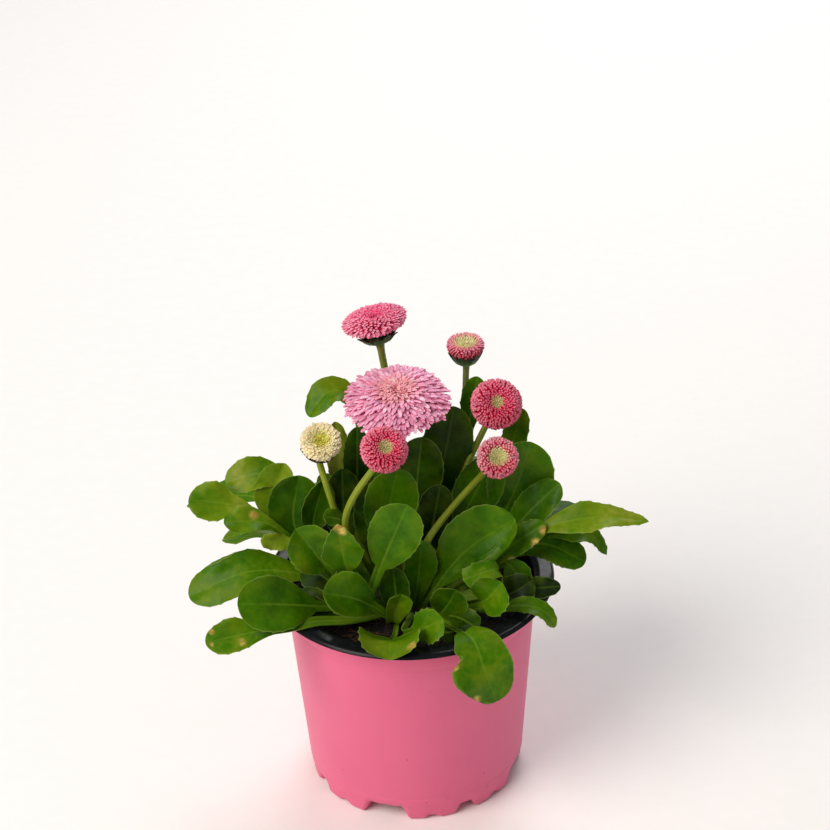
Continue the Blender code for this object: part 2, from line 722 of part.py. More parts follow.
def make_disc(name, head, floor, material):
    # Small dome of disc florets in the socket, as a net of low bumps
    frame = head_frame(head)
    rings = []
    for row in range(DISC_ROWS):
        rise = math.pi / 2 * row / DISC_ROWS
        level = floor + GAP / MM
        reach = head["disc"]
        if row:
            level += DISC_WALL + DISC_DOME * math.sin(rise)
            reach *= math.cos(rise * DISC_CLOSING)
        ring = []
        for i in range(DISC_SIDES):
            a = 2 * math.pi * (i + 0.5 * row) / DISC_SIDES
            bump = DISC_BUMP if (i + row) % 2 and row else 0.0
            ring.append(Vector((math.cos(a) * reach, math.sin(a) * reach, level + bump)))
        rings.append(ring)
    vertices, faces = loft([[frame @ p * MM for p in ring] for ring in rings])
    obj = make_object(f"disc_{name}", vertices, faces, material)
    smooth_shade(obj, 30)
    return obj


def make_open_rays(name, head, material):
    # Loose head: layers of pointed florets, staggered, in one surface from the base to the top
    frame = head_frame(head)
    columns = 2 * OPEN_FLORETS

    def ring(radius, level):
        return [direction(360 * i / columns, 0) * radius + Vector((0, 0, level)) for i in range(columns)]

    rings = [ring(OPEN_BASE_RADIUS, GAP / MM)]
    for index, layer in enumerate(OPEN_LAYERS):
        slope = math.tan(math.radians(layer["lift"]))
        rings.append(ring(layer["foot"], layer["rise"]))
        under = []
        over = []
        for i in range(columns):
            out = direction(360 * i / columns, 0)
            reach = layer["reach"] if (i + index) % 2 == 0 else layer["notch"]
            rim = Vector((0, 0, layer["rise"] + (reach - layer["foot"]) * slope))
            under.append(out * reach + rim)
            over.append(out * (reach - FLORET_EDGE) + rim + Vector((0, 0, FLORET_THICKNESS)))
        rings += [under, over]
    rings.append(ring(OPEN_TOP_RADIUS, OPEN_TOP))
    vertices, faces = loft([[frame @ p * MM for p in points] for points in rings])
    obj = make_object(f"rays_{name}", vertices, faces, material)
    smooth_shade(obj, 25)
    return obj


def foot_edge(angle):
    # Height of the pot's lower edge at an angle: feet with a notch, and gaps between them
    turn = (angle - FIRST_FOOT_ANGLE) % PAIR_PERIOD
    offset = min(turn, PAIR_PERIOD - turn, abs(turn - SECOND_FOOT_TURN))
    if offset < NOTCH_HALF_ANGLE + ANGLE_SLACK:
        return FOOT_NOTCH_DEPTH
    if offset < FOOT_HALF_ANGLE + ANGLE_SLACK:
        return 0.0
    return NARROW_GAP_HEIGHT if turn < SECOND_FOOT_TURN else FOOT_HEIGHT


def pot_angles():
    # Where the lower edge changes, over one pair of feet and then round the pot
    half = (
        NOTCH_HALF_ANGLE,
        NOTCH_HALF_ANGLE + NOTCH_RAMP_ANGLE,
        FOOT_HALF_ANGLE,
        FOOT_HALF_ANGLE + FOOT_RAMP_ANGLE,
    )
    foot = (*(-mark for mark in reversed(half)), *half)
    marks = (*foot, *(SECOND_FOOT_TURN + mark for mark in foot), WIDE_GAP_TURN)
    return [FIRST_FOOT_ANGLE + k * PAIR_PERIOD + mark for k in range(FOOT_PAIRS) for mark in marks]


def wall_radius(height):
    # Outer radius of the tapered wall
    rise = POT_HEIGHT - FLANGE_THICKNESS - POT_WALL_FOOT_HEIGHT
    slope = (POT_WALL_TOP_RADIUS - POT_WALL_FOOT_RADIUS) / rise
    return POT_WALL_FOOT_RADIUS + slope * (height - POT_WALL_FOOT_HEIGHT)


def make_pot(material):
    # One sheet: flange, tapered wall, feet pressed out of the floor
    floor = FOOT_HEIGHT
    columns = []
    for angle in pot_angles():
        edge = foot_edge(angle)
        outside = [
            (POT_RIM_RADIUS - FLANGE_LIP_INSET, POT_HEIGHT - FLANGE_LIP_DROP),
            (POT_WALL_TOP_RADIUS, POT_HEIGHT - FLANGE_THICKNESS),
            (POT_WALL_FOOT_RADIUS, POT_WALL_FOOT_HEIGHT),
            (FOOT_OUTER_RADIUS + FOOT_CHAMFER, edge + FOOT_CHAMFER),
            (FOOT_OUTER_RADIUS, edge),
            (FOOT_INNER_RADIUS, edge),
            (FOOT_INNER_RADIUS - FOOT_CHAMFER, floor),
        ]
        inside = [
            (FOOT_INNER_RADIUS - FOOT_FLOOR_ROOM, floor + POT_SHEET),
            (FOOT_INNER_RADIUS + FOOT_INNER_ROOM, edge + POT_SHEET),
            (FOOT_OUTER_RADIUS - FOOT_OUTER_ROOM, edge + POT_SHEET),
            (POT_WALL_FOOT_RADIUS - POT_SHEET, POT_WALL_FOOT_HEIGHT + WALL_FOOT_LIFT),
            (POT_WALL_TOP_RADIUS - POT_SHEET, POT_HEIGHT - FLANGE_INNER_DROP),
            (POT_WALL_TOP_RADIUS + FLANGE_INNER_STEP, POT_HEIGHT),
            (POT_RIM_RADIUS - FLANGE_ROUND_WIDTH, POT_HEIGHT),
            (POT_RIM_RADIUS, POT_HEIGHT - FLANGE_EDGE_DROP),
        ]
        columns.append((math.radians(angle), outside + inside))
    rows = len(outside) + len(inside)
    split = len(outside)
    vertices = []
    for a, profile in columns:
        for radius, height in profile:
            vertices.append((radius * math.cos(a), radius * math.sin(a), height))
    under = len(vertices)
    over = under + 1
    vertices.append((0, 0, floor))
    vertices.append((0, 0, floor + POT_SHEET))
    faces = []
    count = len(columns)
    for k in range(count):
        here = k * rows
        there = ((k + 1) % count) * rows
        for row in range(rows):
            after = (row + 1) % rows
            if row == split - 1:
                faces.append((here + row, under, there + row))
                faces.append((here + after, there + after, over))
                continue
            faces.append((here + row, here + after, there + after))
            faces.append((here + row, there + after, there + row))
    pot = make_object("pot", vertices, faces, material)
    smooth_shade(pot, 35)
    drains = bpy.data.collections.new("drain_cutters")
    bpy.context.scene.collection.children.link(drains)
    for k in range(FOOT_PAIRS):
        angle = math.radians(FIRST_FOOT_ANGLE + WIDE_GAP_TURN + k * PAIR_PERIOD)
        build = bmesh.new()
        bmesh.ops.create_cone(
            build, cap_ends=True, segments=DRAIN_SIDES,
            radius1=DRAIN_RADIUS, radius2=DRAIN_RADIUS, depth=DRAIN_CUT_DEPTH,
        )
        mesh = bpy.data.meshes.new("drain")
        build.to_mesh(mesh)
        build.free()
        cutter = bpy.data.objects.new(f"drain_{k}", mesh)
        cutter.location = (DRAIN_RING_RADIUS * math.cos(angle), DRAIN_RING_RADIUS * math.sin(angle), floor)
        cutter.hide_render = True
        cutter.display_type = "WIRE"
        drains.objects.link(cutter)
    cut = pot.modifiers.new("drain holes", "BOOLEAN")
    cut.operation = "DIFFERENCE"
    cut.operand_type = "COLLECTION"
    cut.collection = drains
    cut.solver = "EXACT"
    return pot


def make_soil(material):
    # Compost in the pot, with lumps on top and a pocket for the crown
    draw = random.Random(SOIL_SEED)
    inner_wall = wall_radius(SOIL_LEVEL) - POT_SHEET - GAP
    inner_foot = POT_WALL_FOOT_RADIUS - POT_SHEET - GAP
    floor = FOOT_HEIGHT + POT_SHEET + GAP
    side = (
        (SOIL_FOOT_RADIUS, floor),
        (inner_foot - SOIL_WALL_ROOM, POT_WALL_FOOT_HEIGHT + SOIL_FOOT_CHAMFER),
        (inner_wall - SOIL_WALL_ROOM, SOIL_LEVEL - SOIL_EDGE_DROP),
        (inner_wall - SOIL_SHOULDER_WIDTH, SOIL_LEVEL - SOIL_SHOULDER_DROP),
    )
    top = tuple((radius, SOIL_LEVEL) for radius in SOIL_TOP_RADII)
    rings = []
    for index, (radius, height) in enumerate(side + top):
        ring = []
        for i in range(SOIL_SIDES):
            a = 2 * math.pi * (i + 0.5 * (index % 2)) / SOIL_SIDES
            lump = draw.uniform(-1, 1) * SOIL_LUMPS if index >= len(side) else 0.0
            ring.append(Vector((radius * math.cos(a), radius * math.sin(a), height + lump)))
        rings.append(ring)
    vertices, faces = loft(rings)
    soil = make_object("soil", vertices, faces, material)
    ring = []
    for i in range(CROWN_SIDES):
        a = 2 * math.pi * i / CROWN_SIDES
        ring.append(Vector((
            CROWN_CENTRE[0] * MM + (CROWN_RADII[0] * MM + 2 * GAP) * math.cos(a),
            CROWN_CENTRE[1] * MM + (CROWN_RADII[1] * MM + 2 * GAP) * math.sin(a),
            0,
        )))
    levels = (CROWN_BOTTOM * MM - GAP, SOIL_LEVEL + SOIL_POCKET_RISE)
    vertices, faces = loft([[p + Vector((0, 0, level)) for p in ring] for level in levels])
    cutter = make_object("crown_pocket", vertices, faces)
    cutter.hide_render = True
    cutter.display_type = "WIRE"
    cut = soil.modifiers.new("crown pocket", "BOOLEAN")
    cut.operation = "DIFFERENCE"
    cut.object = cutter
    cut.solver = "EXACT"
    return soil


def main():
    clear_scene()
    make_pot(make_material("pink polypropylene", (0.66, 0.10, 0.20), 0.42))
    make_soil(make_material("dark compost", (0.028, 0.018, 0.012), 0.95))
    make_rosette(make_material("leaf green", (0.085, 0.19, 0.018), 0.45))
    ray_colours = {
        "rose_pompon": (0.63, 0.12, 0.24),
        "open_pink": (0.74, 0.33, 0.48),
        "small_bud": (0.60, 0.10, 0.20),
        "crimson_right": (0.62, 0.04, 0.12),
        "crimson_centre": (0.62, 0.05, 0.13),
        "red_white_right": (0.66, 0.12, 0.18),
        "cream_bud": (0.78, 0.66, 0.34),
    }
    for name, head in HEADS.items():
        petals = make_material(f"florets {name}", ray_colours[name], 0.6)
        if name == "open_pink":
            make_open_rays(name, head, petals)
            continue
        _, floor = make_button_rays(name, head, petals)
        if "disc" in head:
            make_disc(name, head, floor, make_material(f"disc {name}", (0.70, 0.62, 0.20), 0.7))


if __name__ == "__main__":
    main()
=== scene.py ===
# English daisy in its nursery pot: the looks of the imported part, in metres
import json
import math
import random

import bpy
import numpy as np
from mathutils import Matrix, Vector, noise

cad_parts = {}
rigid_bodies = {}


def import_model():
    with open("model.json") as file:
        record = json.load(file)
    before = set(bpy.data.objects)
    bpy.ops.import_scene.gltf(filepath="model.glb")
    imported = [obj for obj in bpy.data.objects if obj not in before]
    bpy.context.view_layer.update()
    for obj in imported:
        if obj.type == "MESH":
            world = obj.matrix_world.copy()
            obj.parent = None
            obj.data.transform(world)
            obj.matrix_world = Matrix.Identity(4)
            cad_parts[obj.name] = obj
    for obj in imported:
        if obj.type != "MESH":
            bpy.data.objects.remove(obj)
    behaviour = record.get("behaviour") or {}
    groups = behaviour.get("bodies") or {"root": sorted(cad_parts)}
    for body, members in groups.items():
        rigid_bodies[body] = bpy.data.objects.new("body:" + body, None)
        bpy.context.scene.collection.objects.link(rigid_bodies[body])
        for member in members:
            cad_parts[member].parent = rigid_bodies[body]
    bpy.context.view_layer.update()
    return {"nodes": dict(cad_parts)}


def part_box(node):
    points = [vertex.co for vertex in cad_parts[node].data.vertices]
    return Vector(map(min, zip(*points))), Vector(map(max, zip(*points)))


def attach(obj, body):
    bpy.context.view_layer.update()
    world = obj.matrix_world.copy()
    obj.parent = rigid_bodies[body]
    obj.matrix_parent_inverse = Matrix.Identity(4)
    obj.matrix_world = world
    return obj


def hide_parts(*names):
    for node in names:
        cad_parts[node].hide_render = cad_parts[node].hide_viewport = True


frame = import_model()
mm = 0.001
print("frame loaded:", len(frame["nodes"]), "nodes")


def hexColour(text):
    # sRGB hex to linear, alpha 1
    channels = [int(text[i:i + 2], 16) / 255 for i in (1, 3, 5)]
    linear = [c / 12.92 if c <= 0.04045 else ((c + 0.055) / 1.055) ** 2.4 for c in channels]
    return (*linear, 1.0)


def plug(tree, node, links):
    # a source is a socket, or a node whose result is meant: for a Mix node of colours, its third output
    for socket, source in links.items():
        if isinstance(source, bpy.types.Node):
            source = source.outputs[2 if source.bl_idname == "ShaderNodeMix" else 0]
        tree.links.new(source, node.inputs[socket])


def addNode(tree, kind, values=None, links=None, ramp=None, **settings):
    # one node with its settings, its socket values, its links and, for a ramp, its stops
    # text given as a value is a hex colour
    made = tree.nodes.new(kind)
    for name, value in settings.items():
        setattr(made, name, value)
    if ramp:
        stops = made.color_ramp.elements
        stops[0].position = ramp[0][0]
        stops[1].position = ramp[-1][0]
        for place, _ in ramp[1:-1]:
            stops.new(place)
        for stop, (_, shade) in zip(stops, ramp):
            stop.color = hexColour(shade)
    for socket, value in (values or {}).items():
        made.inputs[socket].default_value = hexColour(value) if isinstance(value, str) else value
    plug(tree, made, links or {})
    return made


def newFinish(name, **numbers):
    # material with one principled shader, its plain numbers set on the shader itself
    material = bpy.data.materials.new(name)
    material.use_nodes = True
    tree = material.node_tree
    shader = tree.nodes["Principled BSDF"]
    for socket, value in numbers.items():
        shader.inputs[socket.replace("_", " ")].default_value = value
    return material, tree, shader


def lookParts(tree, name):
    # sockets of the three numbers that a mesh carries under this name
    carried = addNode(tree, "ShaderNodeAttribute", attribute_name=name)
    return addNode(tree, "ShaderNodeSeparateXYZ", links={0: carried.outputs["Vector"]}).outputs


# Camera: a long lens, a little above the plant, aimed as the photo was
cameraLook = {
    "lens": 106.8,
    "sensor": 36.0,
    "distance": 900,      # mm to the target, on the pot's axis just under the rim
    "targetHeight": 80,   # mm
    "elevation": 33.95,   # degrees, as the three turns below
    "turn": 0.25,
    "tilt": -3.81,        # sets the plant low in the frame
    "roll": 2.14,
}


def makeCamera(look):
    rise = math.radians(look["elevation"])
    forward = Vector((0, math.cos(rise), -math.sin(rise)))
    right = Vector((1, 0, 0))
    aim = Matrix((right, right.cross(forward), -forward))
    turn = Matrix.Rotation(math.radians(look["turn"]), 3, "Y")
    tilt = Matrix.Rotation(math.radians(look["tilt"]), 3, "X")
    roll = Matrix.Rotation(math.radians(look["roll"]), 3, "Z")
    pose = (roll @ tilt @ turn @ aim).transposed().to_4x4()
    place = Vector((0, 0, look["targetHeight"])) - forward * look["distance"]
    data = bpy.data.cameras.new("camera")
    data.lens = look["lens"]
    data.sensor_width = look["sensor"]
    camera = bpy.data.objects.new("camera", data)
    camera.matrix_world = Matrix.Translation(place * mm) @ pose
    bpy.context.scene.collection.objects.link(camera)
    bpy.context.scene.camera = camera


# Light: soft boxes at the front left and behind, a weak fill at the right, a pale room all round
lightLook = {
    "key": dict(place=(-1000, -800, 1300), size=1300, power=26.0, tint="#FFF7EE"),
    "fill": dict(place=(1100, -700, 700), size=900, power=0.3, tint="#F1F4FF"),
    "back": dict(place=(300, 1100, 1100), size=1000, power=11.0, tint="#FFFFFF"),
    "room": "#FFFFFF",
    "roomStrength": 0.26,
    "aim": (0, 0, 90),
}


def makeLights(look):
    for name in ("key", "fill", "back"):
        lamp = look[name]
        data = bpy.data.lights.new(name, "AREA")
        data.shape = "DISK"
        data.size = lamp["size"] * mm
        data.energy = lamp["power"]
        data.color = hexColour(lamp["tint"])[:3]
        light = bpy.data.objects.new(name, data)
        place = Vector(lamp["place"])
        away = place - Vector(look["aim"])
        turn = away.to_track_quat("Z", "Y").to_matrix().to_4x4()
        light.matrix_world = Matrix.Translation(place * mm) @ turn
        bpy.context.scene.collection.objects.link(light)
    world = bpy.data.worlds.new("pale room")
    world.use_nodes = True
    background = world.node_tree.nodes["Background"]
    background.inputs["Color"].default_value = hexColour(look["room"])
    background.inputs["Strength"].default_value = look["roomStrength"]
    bpy.context.scene.world = world
    bpy.context.scene.view_settings.view_transform = "Standard"
    bpy.context.scene.view_settings.look = "None"


floorLook = {"reach": 3000, "colour": "#FDFCFB", "fleck": "#F8F7F6", "roughness": 0.75}


def makeFloor(look):
    # matte sheet of painted card, with a paper grain of 1.1 mm, which the feet stand on
    material, tree, shader = newFinish("matte painted card", Roughness=look["roughness"])
    grain = addNode(tree, "ShaderNodeTexNoise", values={"Scale": 900.0, "Detail": 2.0})
    tone = addNode(tree, "ShaderNodeMix", data_type="RGBA", links={0: grain},
                   values={6: look["colour"], 7: look["fleck"]})
    plug(tree, shader, {"Base Color": tone})
    reach = look["reach"] * mm
    corners = [(x * reach, y * reach, 0) for x, y in ((-1, -1), (1, -1), (1, 1), (-1, 1))]
    mesh = bpy.data.meshes.new("floor")
    mesh.from_pydata(corners, [], [(0, 1, 2, 3)])
    mesh.materials.append(material)
    floor = bpy.data.objects.new("floor", mesh)
    bpy.context.scene.collection.objects.link(floor)


makeCamera(cameraLook)
makeLights(lightLook)
makeFloor(floorLook)
print("camera, lights and floor")


def newPile():
    # vertices, faces and per-vertex looks of many small shapes, joined in one mesh later
    return {"places": [], "faces": [], "looks": {}, "count": 0, "kinds": []}


def pour(pile, places, faces, kind=0, **looks):
    # places in mm, faces as rows of three or four, kind the material's number, each look by vertex
    pile["places"].append(places)
    pile["faces"].append(faces + pile["count"])
    pile["kinds"].append(np.full(len(faces), kind))
    for name, values in looks.items():
        pile["looks"].setdefault(name, []).append(values)
    pile["count"] += len(places)


def setPiece(name, pile, materials, nodes, body="root", sharpest=60):
    # one mesh from a pile, riding on its body and standing for its nodes
    mesh = bpy.data.meshes.new(name)
    faces = [tuple(face) for block in pile["faces"] for face in block.tolist()]
    mesh.from_pydata((np.concatenate(pile["places"]) * mm).tolist(), [], faces)
    mesh.polygons.foreach_set("material_index", np.concatenate(pile["kinds"]).astype(np.int32))
    for look, blocks in pile["looks"].items():
        values = np.concatenate(blocks).astype(np.float32)
        kind = "FLOAT" if values.ndim == 1 else "FLOAT_VECTOR"
        layer = mesh.attributes.new(look, kind, "POINT")
        layer.data.foreach_set("value" if values.ndim == 1 else "vector", values.ravel())
    for material in materials:
        mesh.materials.append(material)
    mesh.shade_smooth()
    mesh.set_sharp_from_angle(angle=math.radians(sharpest))
    piece = bpy.data.objects.new(name, mesh)
    bpy.context.scene.collection.objects.link(piece)
    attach(piece, body)
    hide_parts(*nodes)
    triangles = sum(len(face) - 2 for face in faces)
    print(name, triangles, "triangles")
    return piece


def smoothPath(points, shares):
    # places and directions at even shares of a smooth curve through the points
    knots = np.array(points, float)
    knots = np.vstack([2 * knots[0] - knots[1], knots, 2 * knots[-1] - knots[-2]])
    t = np.linspace(0, 1, 40, endpoint=False)[:, None]
    fine = []
    for a, b, c, d in zip(knots, knots[1:], knots[2:], knots[3:]):
        squared = (2 * a - 5 * b + 4 * c - d) * t ** 2
        cubed = (3 * b - a - 3 * c + d) * t ** 3
        fine.append(0.5 * (2 * b + (c - a) * t + squared + cubed))
    fine = np.vstack(fine + [knots[-2][None]])
    reach = np.concatenate([[0], np.cumsum(np.linalg.norm(np.diff(fine, axis=0), axis=1))])
    wanted = np.clip(shares, 0, 1) * reach[-1]
    places = np.stack([np.interp(wanted, reach, fine[:, axis]) for axis in range(3)], axis=1)
    slopes = np.gradient(fine, axis=0)
    ways = np.stack([np.interp(wanted, reach, slopes[:, axis]) for axis in range(3)], axis=1)
    return places, ways / np.linalg.norm(ways, axis=1)[:, None], reach[-1]


def lookWay(azimuth, elevation):
    a = math.radians(azimuth)
    e = math.radians(elevation)
    return np.array([math.cos(e) * math.cos(a), math.cos(e) * math.sin(a), math.sin(e)])


def unit(vectors):
    return vectors / np.maximum(np.linalg.norm(vectors, axis=-1, keepdims=True), 1e-9)


def gridFaces(rows, columns):
    # quads between neighbouring rings, with the last column joined to the first
    row, column = np.meshgrid(np.arange(rows - 1), np.arange(columns), indexing="ij")
    here = (row * columns + column).ravel()
    beside = (row * columns + (column + 1) % columns).ravel()
    return np.stack([here, beside, beside + columns, here + columns], axis=1)


def tubeFaces(rows, around):
    # a tube's quads, with both ends covered from side to side
    start = [[around - 1 - j, around - 2 - j, j + 1, j] for j in range(around // 2 - 1)]
    end = [[i + (rows - 1) * around for i in face[::-1]] for face in start]
    return np.concatenate([gridFaces(rows, around), start, end])


def turned(radii, heights, turns):
    # a profile turned round the upright axis, one ring of places for each of its points
    return np.stack([radii * np.cos(turns), radii * np.sin(turns), heights + 0 * turns], axis=2)


def evenTurns(count, start=0):
    return 2 * np.pi * (np.arange(count) + start) / count


# Pot: thermoformed sheet, pink outside and black inside and on the flange
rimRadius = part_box("pot")[1].x / mm
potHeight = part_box("pot")[1].z / mm
potLook = {
    "wallTopRadius": 45.9,
    "wallFootRadius": 40.15,
    "wallFootHeight": 8.0,
    "sheet": 1.0,
    "flange": 1.7,
    "footPairs": 4,
    "firstFoot": -82.75,      # degrees
    "secondFoot": 38.75,      # degrees on from the first of its pair
    "footLift": 5.4,          # floor above the feet
    "narrowLift": 3.6,        # gap inside a pair
    "footRadii": (31.5, 38.0),
    "notchLift": 1.2,
    "notchAngles": (1.2, 5.0),    # degrees from the foot's middle: notch, then its ramp's end
    "footAngles": (12.0, 16.6),   # foot's flat, then its ramp's end
    "footChamfer": 1.2,
    "columnsPerPair": 104,
    "drainRadius": 3.0,
    "drainRing": 34.5,
    "drainSides": 24,
    "drainCut": 3.0,              # above and below the floor
    "mouldLines": ((71.4, 0.16, 0.7), (10.2, 0.12, 0.5)),   # height, depth, half width
    "wallHead": (2.9, 73, 4),     # rows from this far under the rim down to this height, and their count
    "wallRows": ((72.4, 70.4, 9), (66, 14, 7), (11.0, 9.4, 7)),   # from, to, count
    # the flange's section, as distances from the rim's radius or from the wall, and down from the rim
    "lipUnder": ((0.45, 1.55), (1.2, 1.5)),
    "flangeUnder": ((1.6, 0.0), (0.5, 0.25), (0.02, 0.8)),
    "flangeOver": ((0.1, 0.6), (0.7, 0.22), (1.5, 0.1)),
    "lipOver": ((2.0, 0.0), (1.3, 0.02), (1.0, 0.1), (0.75, 0.24), (0.5, 0.45), (0.3, 0.7), (0.12, 0.95),
                (0.0, 1.15), (0.0, 1.3), (0.12, 1.42)),
    "pink": "#EC7496",
    "pinkDeep": "#E2688E",
    "black": "#101216",
    "scuff": "#8C3A44",
}


def stepUp(low, high, values):
    share = np.clip((values - low) / (high - low), 0, 1)
    return share * share * (3 - 2 * share)


def potColumns(look):
    # the sheet's profile in each column: from the flange's lip down the outside and back up the inside
    count = look["footPairs"] * look["columnsPerPair"]
    turns = np.arange(count) * 360.0 / count
    period = 360.0 / look["footPairs"]
    turn = (turns - look["firstFoot"]) % period
    off = np.minimum(np.minimum(turn, period - turn), np.abs(turn - look["secondFoot"]))
    edge = look["notchLift"] * (1 - stepUp(*look["notchAngles"], off))
    gap = np.where(turn < look["secondFoot"], look["narrowLift"], look["footLift"])
    edge = edge + gap * stepUp(*look["footAngles"], off)
    top = potHeight
    under = top - look["flange"]
    wallTop = look["wallTopRadius"]
    wallFoot = look["wallFootRadius"]
    footHeight = look["wallFootHeight"]
    footIn, footOut = look["footRadii"]
    chamfer = look["footChamfer"]
    floor = look["footLift"]
    sheet = look["sheet"]
    headDrop, headEnd, headCount = look["wallHead"]
    heights = np.concatenate([np.linspace(top - headDrop, headEnd, headCount)]
                             + [np.linspace(*rows) for rows in look["wallRows"]])
    slope = (wallTop - wallFoot) / (under - footHeight)
    profile = [(rimRadius - back, top - down) for back, down in look["lipUnder"]]
    profile += [(wallTop + out, under - down) for out, down in look["flangeUnder"]]
    for height in heights:
        groove = sum(depth * math.exp(-((height - at) / wide) ** 2)
                     for at, depth, wide in look["mouldLines"])
        profile.append((wallFoot + slope * (height - footHeight) - groove, height))
    profile.append((wallFoot, footHeight))
    for share in (0.33, 0.66, 1.0):
        profile.append((wallFoot + (footOut + chamfer - wallFoot) * share,
                        footHeight + (edge + chamfer - footHeight) * share))
    profile += [(footOut + 0.8, edge + 0.62), (footOut + 0.4, edge + 0.2), (footOut - 0.1, edge),
                (footIn, edge)]
    split = len(profile) + 1
    profile += [(footIn - 1.2, floor), (0.0, floor), (0.0, floor + sheet), (footIn - 0.4, floor + sheet)]
    profile += [(footIn + 1.1, edge + sheet), (footOut - 0.5, edge + sheet)]
    profile += [(wallFoot - sheet, footHeight + 0.3), (wallTop - sheet, top - 2.6)]
    profile.append((wallTop - sheet + 0.15, top - 1.2))
    profile += [(wallTop + out, top - down) for out, down in look["flangeOver"]]
    profile += [(rimRadius - back, top - down) for back, down in look["lipOver"]]
    columns = [np.stack([np.full(count, radius), np.full(count, height)], axis=1)
               for radius, height in profile]
    return np.radians(turns), np.array(columns), split


def potPink(look):
    # polypropylene, co-extruded sheet drawn over a plug: satin skin, faint draw lines, specks, stained foot
    material, tree, shader = newFinish(
        "thermoformed polypropylene, pink", Roughness=0.42, IOR=1.49, Specular_IOR_Level=0.2,
        Subsurface_Weight=0.08, Subsurface_Scale=1.2 * mm)
    place = addNode(tree, "ShaderNodeTexCoord").outputs["Object"]
    heights = addNode(tree, "ShaderNodeSeparateXYZ", links={0: place})
    stretched = addNode(tree, "ShaderNodeMapping", links={0: place}, values={3: (1.0, 1.0, 0.06)})
    draw = addNode(tree, "ShaderNodeTexNoise", links={0: stretched},
                   values={"Scale": 1000 / 2.5, "Detail": 3.0})
    cloud = addNode(tree, "ShaderNodeTexNoise", links={0: place},
                    values={"Scale": 1000 / 30, "Detail": 2.0})
    base = addNode(tree, "ShaderNodeMix", data_type="RGBA", links={0: cloud},
                   values={6: look["pink"], 7: look["pinkDeep"]})
    # specks: dust and nicks about 0.5 mm wide, one in every 9 mm
    cells = addNode(tree, "ShaderNodeTexVoronoi", links={0: place},
                    values={"Scale": 1000 / 9, "Randomness": 1.0})
    speck = addNode(tree, "ShaderNodeMapRange", links={0: cells.outputs["Distance"]},
                    values={1: 0.022, 2: 0.045, 3: 0.55, 4: 0.0})
    dusty = addNode(tree, "ShaderNodeMix", data_type="RGBA", links={0: speck, 6: base},
                    values={7: look["scuff"]})
    # compost stains on the lowest 14 mm
    low = addNode(tree, "ShaderNodeMapRange", links={0: heights.outputs[2]},
                  values={1: 2 * mm, 2: 14 * mm, 3: 1.0, 4: 0.0})
    stain = addNode(tree, "ShaderNodeTexNoise", links={0: place},
                    values={"Scale": 1000 / 4, "Detail": 6.0, "Roughness": 0.7})
    patch = addNode(tree, "ShaderNodeMapRange", links={0: stain}, values={1: 0.56, 2: 0.74, 3: 0.0, 4: 0.5})
    grime = addNode(tree, "ShaderNodeMath", operation="MULTIPLY", links={0: low, 1: patch})
    final = addNode(tree, "ShaderNodeMix", data_type="RGBA", links={0: grime, 6: dusty},
                    values={7: look["scuff"]})
    bump = addNode(tree, "ShaderNodeBump", links={"Height": draw},
                   values={"Strength": 0.12, "Distance": 0.1 * mm})
    plug(tree, shader, {"Base Color": final, "Normal": bump})
    return material


def potBlack(look):
    # the same sheet's recycled inner layer: black and glossier, its shine uneven over a few millimetres
    material, tree, shader = newFinish("thermoformed polypropylene, black", IOR=1.49,
                                       Specular_IOR_Level=0.15)
    place = addNode(tree, "ShaderNodeTexCoord").outputs["Object"]
    haze = addNode(tree, "ShaderNodeTexNoise", links={0: place}, values={"Scale": 1000 / 3, "Detail": 5.0})
    rough = addNode(tree, "ShaderNodeMapRange", links={0: haze}, values={1: 0.3, 2: 0.7, 3: 0.16, 4: 0.3})
    tone = addNode(tree, "ShaderNodeMix", data_type="RGBA", links={0: haze},
                   values={6: look["black"], 7: "#1B1C20"})
    bump = addNode(tree, "ShaderNodeBump", links={"Height": haze},
                   values={"Strength": 0.1, "Distance": 0.1 * mm})
    plug(tree, shader, {"Base Color": tone, "Roughness": rough, "Normal": bump})
    return material


